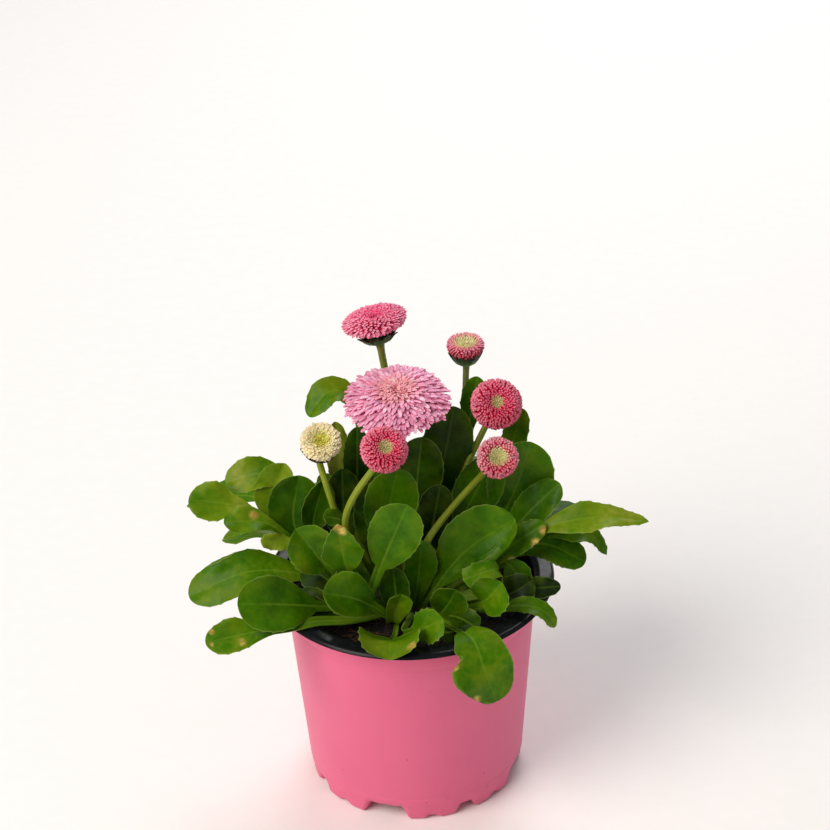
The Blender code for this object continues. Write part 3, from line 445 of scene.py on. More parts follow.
def makePot(look):
    turns, profile, split = potColumns(look)
    rows, count, _ = profile.shape
    places = turned(profile[:, :, 0], profile[:, :, 1], turns)
    faces = gridFaces(rows, count)
    closing = gridFaces(2, count)
    closing = np.where(closing < count, closing + (rows - 1) * count, closing - count)
    row = np.arange(len(faces)) // count
    kinds = np.concatenate([np.where((row < split) | (row >= rows - 2), 0, 1), np.zeros(count, int)])
    pile = newPile()
    pour(pile, places.reshape(-1, 3), np.concatenate([faces, closing])[:, ::-1], kind=kinds)
    pot = setPiece("potShell", pile, [potPink(look), potBlack(look)], ["pot"], sharpest=40)
    # the drains are cut by short round bars, which are then deleted
    cutters = bpy.data.collections.new("drainCutters")
    bpy.context.scene.collection.children.link(cutters)
    period = 360 / look["footPairs"]
    sides = look["drainSides"]
    radius = look["drainRadius"]
    angles = [2 * math.pi * i / sides for i in range(sides)]
    ring = [(math.cos(a) * radius * mm, math.sin(a) * radius * mm) for a in angles]
    faces = [(i, (i + 1) % sides, (i + 1) % sides + sides, i + sides) for i in range(sides)]
    faces += [tuple(range(sides - 1, -1, -1)), tuple(range(sides, 2 * sides))]
    reach = look["drainCut"] * mm
    for k in range(look["footPairs"]):
        turn = math.radians(look["firstFoot"] + (look["secondFoot"] + period) / 2 + k * period)
        mesh = bpy.data.meshes.new("drain")
        mesh.from_pydata([(x, y, z) for z in (-reach, reach) for x, y in ring], [], faces)
        cutter = bpy.data.objects.new(f"drain{k}", mesh)
        out = look["drainRing"] * mm
        cutter.location = (out * math.cos(turn), out * math.sin(turn), look["footLift"] * mm)
        cutters.objects.link(cutter)
    cut = pot.modifiers.new("drains", "BOOLEAN")
    cut.operand_type = "COLLECTION"
    cut.collection = cutters
    cut.solver = "EXACT"
    bpy.context.view_layer.update()
    cutMesh = bpy.data.meshes.new_from_object(pot.evaluated_get(bpy.context.evaluated_depsgraph_get()))
    pot.modifiers.clear()
    pot.data = cutMesh
    for cutter in list(cutters.objects):
        bpy.data.objects.remove(cutter)
    bpy.data.collections.remove(cutters)


makePot(potLook)
print("pot")


# Compost: dark peat with crumbs and brown fibres, its top 9 mm below the rim
soilLook = {
    "seed": 5,
    "level": 74.0,
    "crumb": 2.6,          # mm across
    "crumbHeight": 1.3,
    "swell": 0.8,
    "rings": 58,
    "columns": 210,
    "fibres": 340,
    "fibreLength": (3.0, 9.0),
    "fibreHalfWidth": (0.12, 0.34),
    "wallRoom": 0.7,
    "footRadius": 35.5,
    "footHeights": (9.2, 6.8),
    "dark": "#15100C",
    "brown": "#3A2416",
    "fibre": "#6B4526",
}


def compost(name, light, dark):
    # screened peat, damp: almost black, with rusty crumbs and no gloss
    material, tree, shader = newFinish(name, Roughness=0.93)
    place = addNode(tree, "ShaderNodeTexCoord").outputs["Object"]
    crumbs = addNode(tree, "ShaderNodeTexNoise", links={0: place},
                     values={"Scale": 1000 / 1.6, "Detail": 5.0})
    tone = addNode(tree, "ShaderNodeValToRGB", links={0: crumbs},
                   ramp=[(0.38, dark), (0.56, dark), (0.74, light)])
    bump = addNode(tree, "ShaderNodeBump", links={"Height": crumbs},
                   values={"Strength": 0.8, "Distance": 0.5 * mm})
    plug(tree, shader, {"Base Color": tone, "Normal": bump})
    return material


def makeSoil(look):
    draw = random.Random(look["seed"])
    wall = potLook["wallTopRadius"] - potLook["sheet"] - look["wallRoom"]
    count = look["columns"]
    turns = evenTurns(count)
    edge, foot = look["footHeights"]
    radii = np.concatenate([np.linspace(0.6, wall, look["rings"]),
                            [wall - 0.1, potLook["wallFootRadius"] - 1.4, look["footRadius"], 0.6]])
    base = np.concatenate([np.full(look["rings"], look["level"]), [look["level"] - 4, edge, foot, foot]])
    places = turned(radii[:, None], base[:, None], turns)
    for row in range(look["rings"]):
        for place in places[row]:
            spot = Vector(place)
            crumbs = noise.voronoi(spot / look["crumb"])[0]
            lift = look["crumbHeight"] * (0.5 - crumbs[0]) + look["swell"] * noise.noise(spot / 9)
            place[2] += lift + 0.5 * noise.noise(spot / 1.3)
    places = places.reshape(-1, 3)
    pile = newPile()
    pour(pile, places, gridFaces(len(radii), count))
    fan = np.stack([np.arange(count), (np.arange(count) + 1) % count, np.full(count, count)], axis=1)
    for first in (0, (len(radii) - 1) * count):
        ring = places[first:first + count]
        pour(pile, np.vstack([ring, ring.mean(axis=0)]), fan if first else fan[:, ::-1])
    for _ in range(look["fibres"]):
        reach = wall * math.sqrt(draw.uniform(0.12, 0.97))
        turn = draw.uniform(0, 2 * math.pi)
        long = draw.uniform(*look["fibreLength"])
        way = draw.uniform(0, 2 * math.pi)
        start = np.array([reach * math.cos(turn), reach * math.sin(turn),
                          look["level"] + draw.uniform(0.2, 1.3)])
        heading = np.array([math.cos(way), math.sin(way), draw.uniform(-0.15, 0.3)])
        curve = np.array([-math.sin(way), math.cos(way), 0.2]) * draw.uniform(-0.25, 0.25) * long
        steps = np.linspace(0, 1, 6)[:, None]
        spine = start + heading * long * steps + curve * steps * (1 - steps)
        # a fibre that would touch the pot is left out
        if not (np.linalg.norm(spine[:, :2], axis=1) < wall - 0.4).all():
            continue
        thick = draw.uniform(*look["fibreHalfWidth"])
        side = np.cross(heading, (0, 0, 1)) * thick
        up = np.array([0, 0, 1.0]) * thick
        ring = np.stack([spine + side, spine + up, spine - side, spine - up], axis=1)
        pour(pile, ring.reshape(-1, 3), tubeFaces(6, 4), kind=1)
    materials = [compost("peat compost", look["brown"], look["dark"]),
                 compost("peat fibre", look["fibre"], look["brown"])]
    setPiece("compost", pile, materials, ["soil"])


makeSoil(soilLook)
print("compost")


# Leaves: spoon-shaped blades on winged petioles, all from the crown
rootHeight = 76.5   # mm
crownCentre = (-2.0, -4.0)
leafLook = {
    "thickness": 0.55,
    "petioleThickness": 1.9,
    "petioleHalfWidth": 1.9,
    "petioleRows": 12,
    "bladeRows": 64,
    "tipRows": 16,
    "evenShare": 0.82,    # of the blade, with rows evenly apart
    "tipShare": 0.18,     # the rest, where they crowd together
    "tipEnd": 0.992,      # the last row, just short of the midrib's end
    "leastPetiole": 0.12,
    "columns": (-1.0, -0.94, -0.82, -0.62, -0.4, -0.18, 0.0, 0.18, 0.4, 0.62, 0.82, 0.94, 1.0),
    "toothPitch": 3.6,
    "toothDepth": 0.36,
    "toothWidth": 0.8,
    "cup": 0.55,          # share of the round hollow in a fold, the rest is a crease
    "veinPitch": 5.2,
    "veinSlant": 0.95,
    "quilting": 0.13,
    "midribDepth": 0.32,
    "ribHeight": 0.5,
    "ruffle": 0.3,
    "ruffleLength": 11.0,
}
# each leaf, in mm: its midrib's path, from a place on the crown given by two numbers, the blade's width and
# length, the azimuth and elevation that its upper side faces, its fold in degrees and its wave
# bites are set by side as (share of the blade, depth, spread), spots as (share, share across, radius)
# tone picks a leaf's green on the finish's ramp, set to how bright the leaf looks: besides its own green it
# holds painted shade and painted light, and the darkest tones are painted shade
leaves = {
    "leftHigh": dict(
        path=[(-14, 4), (-34, 8, 109), (-50, 10, 121), (-66, 10, 118)],
        width=12.5, blade=25, face=(-90, 50), fold=8, wave=0.8, tone=0.71, base=0.8,
    ),
    "leftFolded": dict(
        path=[(-12, 0), (-38, 3, 98), (-48, 5, 110), (-43, 8, 127)],
        width=15, blade=26, face=(-112, 20), fold=28, cup=0.1, wave=0.5, tone=0.7,
    ),
    "farLeftSpoon": dict(
        path=[(-16, -2), (-40, -3, 102), (-60, -2, 115), (-78.5, -2, 119)],
        width=14.5, blade=24, face=(-90, 50), fold=6, wave=0.8, tone=0.7,
        bites={1: ((0.34, 2.2, 0.12),), -1: ((0.3, 1.4, 0.12),)},
    ),
    "leftSpotted": dict(
        path=[(-16, -6), (-40, -7, 101), (-51, -7, 111), (-66, -8, 113)],
        width=10.5, blade=20, face=(-80, 60), fold=14, wave=0.9, tone=0.6,
        spots=((0.45, 0.45, 1.2),),
    ),
    "leftTwisted": dict(
        path=[(-14, -8), (-34, -10, 98), (-43, -10, 104), (-53, -12, 107)],
        width=6, blade=14, face=(-90, 25), fold=12, wave=0.5, tone=0.8,
    ),
    "leftDark": dict(
        path=[(-12, 2), (-34, -3, 94), (-41, -2, 108), (-38, 1, 126)],
        width=19, blade=30, face=(-80, 25), fold=8, wave=0.8, tone=0.34,
    ),
    "leftDarkPointed": dict(
        path=[(-10, -2), (-30, -4, 96), (-34, -5, 108), (-29, -2, 126)],
        width=13, blade=24, face=(-60, 25), fold=18, wave=0.4, point=0.5, tone=0.32,
    ),
    "smallCurled": dict(
        path=[(-14, -12), (-21, -14, 104), (-23, -16, 116), (-30, -18, 120)],
        width=6, blade=10, face=(-90, 50), fold=15, wave=0.3, tone=0.34,
    ),
    "heart": dict(
        path=[(-14, -12), (-25, -18, 92), (-30, -21, 101), (-34.5, -22, 110), (-39.5, -22, 118)],
        width=17.5, blade=21, face=(-98, 38), fold=28, cup=0.2, wave=1.0, tone=0.56, base=0.6,
        bites={1: ((0.42, 4.6, 0.13),)},
    ),
    "brownTipped": dict(
        path=[(-12, -13), (-18, -20, 88), (-22, -26, 102), (-24.5, -31, 125)],
        width=15, blade=24, face=(-90, 20), fold=12, wave=0.7, point=0.9, base=0.8, tone=0.48,
        spots=((0.84, 0.16, 1.3), (0.9, 0.1, 1.5), (0.96, 0.02, 1.6)),
    ),
    "leftLong": dict(
        path=[(-16, -4), (-34, -8, 88), (-57, -12, 94), (-80, -15, 86)],
        width=19, blade=47, face=(-90, 58), fold=6, wave=1.0, tone=0.5,
        bites={1: ((0.67, 3.2, 0.16),), -1: ((0.6, 1.6, 0.18),)},
    ),
    "leftFrontBroad": dict(
        path=[(-12, -12), (-31, -24, 86), (-46, -32, 93), (-61, -36, 96.5)],
        width=20, blade=32, face=(-88, 45), fold=5, wave=0.7, tone=0.47, base=1.2,
    ),
    "leftLow": dict(
        path=[(-6, -15), (-22, -26, 81), (-34, -31, 84.4), (-43, -34.5, 85), (-56, -37, 85),
              (-73, -40.5, 83.5)],
        width=13.5, blade=26, face=(-90, 66), fold=6, wave=0.7, tone=0.56, wing=1.2,
        spots=((0.86, 0.55, 0.8), (0.5, -0.5, 1.0), (0.9, -0.2, 0.6)),
    ),
    "centreFolded": dict(
        path=[(-5, -16), (-8, -25, 81), (-14, -28, 88), (-21, -31, 94), (-31, -34, 98.5)],
        width=17, blade=21, face=(-75, 45), fold=30, cup=0.1, wave=0.6, tone=0.43, base=0.8,
    ),
    "funnel": dict(
        path=[(-7.5, -19), (-7, -25, 79), (-5.5, -26.5, 85), (-3.2, -27, 92)],
        width=9, blade=17, face=(-75, 15), fold=22, wave=0.3, base=1.0, widest=0.86, tone=0.62, teeth=0.3,
    ),
    "centreFront": dict(
        path=[(-12, -15), (-14, -20, 87), (-11, -24, 100), (0, -28, 130)],
        width=18.5, blade=31, face=(-95, 22), fold=5, wave=0.5, tone=0.53, base=0.8,
    ),
    "centreBehind": dict(
        path=[(-8, -11), (-9, -14, 105), (-3, -13, 136)],
        width=19, blade=34, face=(-80, 20), fold=10, wave=0.6, tone=0.48,
    ),
    "rimCupped": dict(
        path=[(-5, -17), (-6, -30, 77), (-7.5, -41, 82), (-8, -48, 86.5), (-8, -55, 83.5)],
        width=21.5, blade=20, face=(-90, 80), fold=23, cup=1.6, wave=0.2, tone=0.58, wing=0.6, teeth=1.9,
        pitch=0.5,
        spots=((0.8, -0.75, 1.1),),
    ),
    "rimRound": dict(
        path=[(0, -18), (-3, -34, 80), (3, -42, 87), (11, -46, 94)],
        width=12, blade=17, face=(-75, 42), fold=12, cup=0.9, wave=0.5, tone=0.58, teeth=1.6, pitch=0.6,
    ),
    "frontDrooping": dict(
        path=[(6, -15), (12, -33, 83), (20.5, -47.5, 86.5), (24.5, -55.5, 78.5), (28.5, -55.9, 64.6)],
        width=20.5, blade=34, face=(-72, 35), fold=8, wave=0.9, tone=0.56, teeth=0.6, base=0.75,
        bites={1: ((0.4, 3.6, 0.045), (0.55, -2.4, 0.1), (0.88, 3.0, 0.13))},
        spots=((0.41, 0.88, 1.0), (0.46, 0.95, 0.7), (0.8, 0.66, 1.3)),
    ),
    # its near-black tone is painted shade
    "frontCover": dict(
        path=[(6, -16), (12, -28, 83), (17, -36, 87), (23, -43, 87)],
        width=9, blade=16, face=(-80, 50), fold=10, wave=0.5, tone=0.14,
    ),
    "darkRound": dict(
        path=[(4, -15), (9, -26, 82), (13, -30, 89), (16, -32, 96.5)],
        width=13.5, blade=15, face=(-80, 42), fold=14, cup=0.9, wave=0.4, tone=0.24, pitch=0.7, base=0.5,
    ),
    "brightCup": dict(
        path=[(10, -14), (22, -27, 87), (27, -33, 93), (32, -35, 101)],
        width=15, blade=14, face=(-80, 48), fold=26, cup=0.95, wave=0.5, tone=0.46, teeth=1.6, pitch=0.6,
        base=0.4,
    ),
    "rightOlive": dict(
        path=[(12, -12), (28, -24, 82), (38, -28, 86), (46, -30, 85), (51, -31, 78)],
        width=6.5, blade=26, face=(-80, 58), fold=12, wave=0.6, tone=0.56,
    ),
    # its near-black tone is painted shade
    "rightDarkLow": dict(
        path=[(13, -8), (33, -16, 84), (54, -17, 86)],
        width=9, blade=28, face=(-90, 60), fold=8, wave=0.6, tone=0.05,
    ),
    "rightBroad": dict(
        path=[(3, -13), (8, -16, 86), (20, -16, 102), (38, -14, 114)],
        width=24, blade=40, face=(-72, 34), fold=12, cup=0.1, wave=1.5, tone=0.48,
        bites={1: ((0.45, 5.6, 0.24), (0.8, 5.4, 0.22)), -1: ((0.3, 1.4, 0.1),)},
    ),
    "upperRightDark": dict(
        path=[(12, 2), (28, 4, 94), (38, 7, 110), (45, 10, 131)],
        width=24, blade=38, face=(-80, 28), fold=12, wave=0.9, tone=0.43,
    ),
    "rightMiddle": dict(
        path=[(13, -2), (34, 0, 96), (44, 1, 107), (55, 2, 118)],
        width=13, blade=30, face=(-88, 50), fold=10, wave=0.9, tone=0.42,
    ),
    "rightLongPointed": dict(
        path=[(14, -4), (34, -6, 94), (50, -7, 105), (69, -8, 109), (86.3, -9, 107)],
        width=12.5, blade=42, face=(-92, 62), fold=8, wave=0.6, point=1.0, tone=0.76,
    ),
    "rightDrooping": dict(
        path=[(14, 0), (38, 2, 92), (54, 2, 97), (66, 2, 95), (72, 0, 87)],
        width=9, blade=28, face=(-90, 60), fold=8, wave=0.5, point=1.0, tone=0.6,
    ),
    "rightLowerDark": dict(
        path=[(13, -4), (33, -2, 88), (48, -1, 94), (64, -4, 87)],
        width=13, blade=30, face=(-90, 52), fold=6, wave=0.7, tone=0.42,
    ),
    "rightDamaged": dict(
        path=[(11, -8), (26, -11, 88), (33, -12, 97.5), (41, -10, 103), (49, -8, 107.5)],
        width=9.5, blade=26, face=(-78, 48), fold=8, wave=1.0, tone=0.54,
        spots=((0.92, 0.4, 1.3), (0.74, 0.9, 1.3), (0.3, 0.9, 1.4), (0.16, 0.8, 1.2)),
    ),
    "rightTwisted": dict(
        path=[(12, -10), (29, -20, 88), (31, -23, 98), (27, -26, 99.5), (18, -28, 97.6)],
        width=6.6, blade=14, wing=1.9, face=(-90, 55), fold=10, wave=0.6, point=0.6, tone=0.62, teeth=1.5,
    ),
    "rightSmall": dict(
        path=[(12, -9), (31, -12, 93), (37, -14, 92), (40, -17, 84)],
        width=10, blade=15, face=(-80, 30), fold=10, wave=0.4, tone=0.46,
    ),
    "centreDark": dict(
        path=[(0, -13), (2, -17, 86), (4.5, -17, 108)],
        width=12, blade=26, face=(-75, 18), fold=16, cup=0.3, wave=0.6, tone=0.46, base=0.9,
    ),
    "centreDarkLeft": dict(
        path=[(-3, -15), (-5, -20, 84), (-6, -20, 99)],
        width=11, blade=20, face=(-100, 18), fold=12, wave=0.5, tone=0.26, base=0.9,
    ),
    "rightBehindStem": dict(
        path=[(7, 0), (18, 4, 100), (32, 8, 126)],
        width=17, blade=34, face=(-88, 20), fold=10, wave=0.8, tone=0.4,
    ),
    "tallDark": dict(
        path=[(4, 6), (9, 9, 100), (18, 15, 144)],
        width=19, blade=46, face=(-85, 15), fold=10, wave=0.8, tone=0.30,
    ),
    "topPeeking": dict(
        path=[(8, 9), (20, 21, 115), (27, 31, 147)],
        width=9, blade=22, face=(-90, 40), fold=10, wave=0.4, tone=0.36,
    ),
    "behindRightHead": dict(
        path=[(12, 5), (32, 13, 108), (43, 22, 138)],
        width=9, blade=27, face=(-90, 30), fold=10, wave=0.5, tone=0.7,
    ),
    "foldedBackLeft": dict(
        path=[(-6, 8), (-14, 18, 118), (-19, 24, 142), (-27, 24, 146), (-35, 20, 138)],
        width=11, blade=31, face=(-105, 60), fold=10, wave=0.6, tone=0.68,
    ),
    "yellowGreen": dict(
        path=[(-12, 4), (-23, 8, 105), (-25, 14, 140)],
        width=9, blade=34, face=(-65, 20), fold=14, wave=0.5, tone=0.88,
    ),
    "leftDarkNarrow": dict(
        path=[(-8, 2), (-17, 4, 106), (-17, 8, 141)],
        width=10, blade=36, face=(-90, 15), fold=12, wave=0.6, tone=0.24,
    ),
    # the leaves from here on fill the gaps between the stems and low in the rosette: their very dark tones
    # are painted shade
    "centreBackDark": dict(
        path=[(-1, 4), (2, 5, 104), (6, 6, 137)],
        width=18, blade=36, face=(-90, 15), fold=10, wave=0.6, tone=0.14,
    ),
    "centreGapDark": dict(
        path=[(6, -2), (8, -3, 100), (12, -1, 121)],
        width=13, blade=30, face=(-95, 15), fold=8, wave=0.6, tone=0.04,
    ),
    "betweenStemsLeft": dict(
        path=[(-14, -3), (-22, -3, 98), (-23, 1, 128)],
        width=13, blade=32, face=(-80, 20), fold=8, wave=0.6, tone=0.16,
    ),
    "betweenStemsCentre": dict(
        path=[(-7, -6), (-13, -7, 98), (-12, -4, 125)],
        width=13, blade=30, face=(-90, 20), fold=8, wave=0.6, tone=0.14,
    ),
    "gapLeft": dict(
        path=[(-9, -11), (-22, -17, 84), (-31, -14, 92), (-39, -9, 93)],
        width=15, blade=26, face=(-80, 35), fold=10, wave=0.6, tone=0.16,
    ),
    "gapLeftLow": dict(
        path=[(-9, -13), (-22, -22, 80), (-33, -22, 85), (-41, -18, 88)],
        width=11, blade=20, face=(-80, 50), fold=8, wave=0.5, tone=0.1,
    ),
    "gapRightFront": dict(
        path=[(5, -14), (10, -29, 77), (18, -36, 82), (24, -39, 85)],
        width=13, blade=19, face=(-75, 50), fold=8, wave=0.5, tone=0.12,
    ),
    "gapRight": dict(
        path=[(12, -9), (26, -18, 81), (36, -20, 86), (44, -18, 90)],
        width=12, blade=22, face=(-80, 40), fold=8, wave=0.5, tone=0.12,
    ),
    "gapCentre": dict(
        path=[(-3, -12), (-10, -20, 82), (-19, -21, 92), (-24, -22, 103)],
        width=12, blade=22, face=(-75, 25), fold=10, wave=0.5, tone=0.34,
    ),
}


def leafOutline(u, point, base, widest):
    # half width of the blade against its widest place, from its foot at 0 to its tip at 1
    widest = widest - 0.12 * point
    lower = 0.16 + 0.84 * np.sin(np.pi / 2 * np.clip(u / widest, 0, 1)) ** base
    v = np.clip((u - widest) / (1 - widest), 0, 1)
    roundEnd = np.sqrt(1 - v ** 2.3)
    pointedEnd = (1 - v) ** 0.9
    upper = roundEnd * (1 - 0.8 * point) + pointedEnd * 0.8 * point
    return np.where(u < widest, lower, upper)


def carryNormals(ways, middle, face):
    # upper side of a leaf: set at mid blade, then carried along the midrib with no twist
    normals = np.zeros_like(ways)
    normals[middle] = unit(face - ways[middle] * (face @ ways[middle]))
    for order in (range(middle + 1, len(ways)), range(middle - 1, -1, -1)):
        last = normals[middle]
        for index in order:
            last = unit(last - ways[index] * (last @ ways[index]))
            normals[index] = last
    return normals


def addLeaf(pile, name, leaf, look):
    draw = random.Random(name)
    path = [(*leaf["path"][0], rootHeight), *leaf["path"][1:]]
    _, _, length = smoothPath(path, np.array([0.0]))
    foot = max(look["leastPetiole"], 1.0 - leaf["blade"] / length)
    blade = length * (1 - foot)
    # rows crowd together at the round tip
    tipTurns = np.linspace(0, 0.47 * math.pi, look["tipRows"])
    even = np.linspace(0, look["evenShare"], look["bladeRows"] - look["tipRows"], endpoint=False)
    u = np.concatenate([even, 1 - look["tipShare"] * (1 - np.sin(tipTurns))])
    shares = np.concatenate([np.linspace(0, foot, look["petioleRows"], endpoint=False),
                             foot + (look["tipEnd"] - foot) * u])
    u = np.concatenate([np.linspace(-1, 0, look["petioleRows"], endpoint=False), u])
    along = (shares - foot) * length
    places, ways, _ = smoothPath(path, shares)
    middle = look["petioleRows"] + int(look["bladeRows"] * 0.55)
    normals = carryNormals(ways, middle, lookWay(*leaf["face"]))
    sides = unit(np.cross(ways, normals))
    c = np.array(look["columns"])
    shape = leafOutline(np.clip(u, 0, 1), leaf.get("point", 0.0), leaf.get("base", 1.35),
                        leaf.get("widest", 0.6))
    outline = np.where(u >= 0, shape * np.clip(u * 14, 0, 1), 0)
    # the blade runs into the petiole's wings without a step
    wing = look["petioleHalfWidth"] * leaf.get("wing", 1.0) * (1 - 0.35 * np.clip(-u, 0, 1))
    wing = wing * np.clip((1 - u) * 12, 0, 1)
    half = (np.maximum(0.5 * leaf["width"] * outline, 0) ** 4 + wing ** 4) ** 0.25
    x = half[:, None] * c[None, :]
    # teeth: small points on the outer part of each margin, out of step between the two sides
    for side in (-1, 1):
        start = draw.uniform(0, look["toothPitch"])
        pitch = look["toothPitch"] * leaf.get("pitch", 1.0)
        wide = look["toothWidth"] * min(1, leaf.get("pitch", 1.0) * 1.2)
        spots = np.arange(0.34 * blade + start, 0.97 * blade, pitch)
        spots = spots + [draw.uniform(-0.2, 0.2) * pitch for _ in spots]
        # each tooth rises slowly and ends in a short step towards the tip
        teeth = sum(np.where(along < at, np.clip(1 - (at - along) / (1.7 * wide), 0, 1),
                             np.clip(1 - (along - at) / (0.5 * wide), 0, 1)) for at in spots)
        reach = look["toothDepth"] * leaf.get("teeth", 1.0) * teeth * np.clip((1 - u) * 8, 0, 1) * (u > 0)
        for bite, depth, spread in leaf.get("bites", {}).get(side, ()):
            reach = reach - depth * np.exp(-((u - bite) / spread) ** 2)
        # a tooth moves the margin alone, a bite draws in the columns beside it too
        bitten = np.minimum(reach, 0)
        for column, moved in ((1.0, reach), (0.94, reach * 0.45), (0.82, bitten * 0.8),
                              (0.62, bitten * 0.5)):
            x[:, np.isclose(c, column * side)] += (side * moved)[:, None]
    angle = math.radians(leaf["fold"])
    size = np.abs(c)[None, :]
    cup = leaf.get("cup", look["cup"])
    rounded = (1 - cup) * (np.sqrt(size ** 2 + 0.012) - math.sqrt(0.012)) + cup * size ** 2
    lift = rounded * half[:, None] * math.sin(angle)
    # waves and ruffles grow with the blade's width
    spanned = (outline * np.clip(u * 5, 0, 1))[:, None]
    lift = lift + leaf["wave"] * np.sin(9.0 * np.clip(u, 0, 1)[:, None] + 2.2 * c[None, :]) * size * spanned
    for side in (-1, 1):
        phase = draw.uniform(0, 6.28)
        ripple = np.sin(2 * np.pi * along / look["ruffleLength"] + phase)[:, None]
        curl = look["ruffle"] * ripple * size ** 3 * spanned
        lift = lift + np.where(c[None, :] * side > 0, curl, 0)
    # quilting: the tissue swells between the side veins, which leave the midrib forwards
    vein = (along[:, None] - np.abs(x) * look["veinSlant"]) / look["veinPitch"]
    vein = vein + np.where(c >= 0, 0.0, 0.45)[None, :] + draw.uniform(0, 1)
    swell = look["quilting"] * (np.abs(np.sin(np.pi * vein)) ** 0.7 - 0.6)
    swell = swell * np.clip(1 - size ** 4, 0, 1) * spanned
    swell = swell * np.clip(np.abs(x) / 1.6, 0, 1)
    groove = look["midribDepth"] * np.exp(-(x / 0.7) ** 2) * (1 - 0.55 * np.clip(u, 0, 1))[:, None]
    rib = look["ribHeight"] * np.exp(-(x / 0.6) ** 2) * (1 - 0.75 * np.clip(u, 0, 1))[:, None]
    swollen = look["petioleThickness"] - look["thickness"]
    thick = look["thickness"] + swollen * np.clip(1 - shares / foot, 0, 1) ** 1.3
    thick = thick[:, None] * (1 - 0.5 * size ** 6) * np.clip((1 - u) * 14 + 0.45, 0, 1)[:, None]
    spread = x * np.cos(angle * (1 - 0.35 * size))
    middlePlace = places[:, None, :] + sides[:, None, :] * spread[:, :, None]
    above = middlePlace + normals[:, None, :] * (lift + swell - groove + thick / 2)[:, :, None]
    below = middlePlace + normals[:, None, :] * (lift + swell * 0.6 - rib - thick / 2)[:, :, None]
    ring = np.concatenate([above, below[:, ::-1]], axis=1)
    rows, around, _ = ring.shape
    # what the finish reads: place along and across the blade, tone, side and spots
    mirrored = np.concatenate([c, c[::-1]])
    upper = np.concatenate([np.ones(len(c)), np.zeros(len(c))])
    across = np.concatenate([x, x[:, ::-1]], axis=1)
    leafMap = np.stack(np.broadcast_arrays(along[:, None], across, np.abs(mirrored)[None]), axis=2)
    tone = leaf.get("tone", 0.5) + draw.uniform(-0.03, 0.03)
    leafTone = np.stack(np.broadcast_arrays(tone, upper[None], u[:, None]), axis=2)
    blemish = np.zeros((rows, around))
    for at, offset, wide in leaf.get("spots", ()):
        distance = np.hypot(along[:, None] - at * blade, across - offset * leaf["width"] / 2)
        blemish = np.maximum(blemish, np.clip(1.6 - distance / wide, 0, 1))
    pour(pile, ring.reshape(-1, 3), tubeFaces(rows, around), leafMap=leafMap.reshape(-1, 3),
         leafTone=leafTone.reshape(-1, 3), blemish=blemish.ravel())


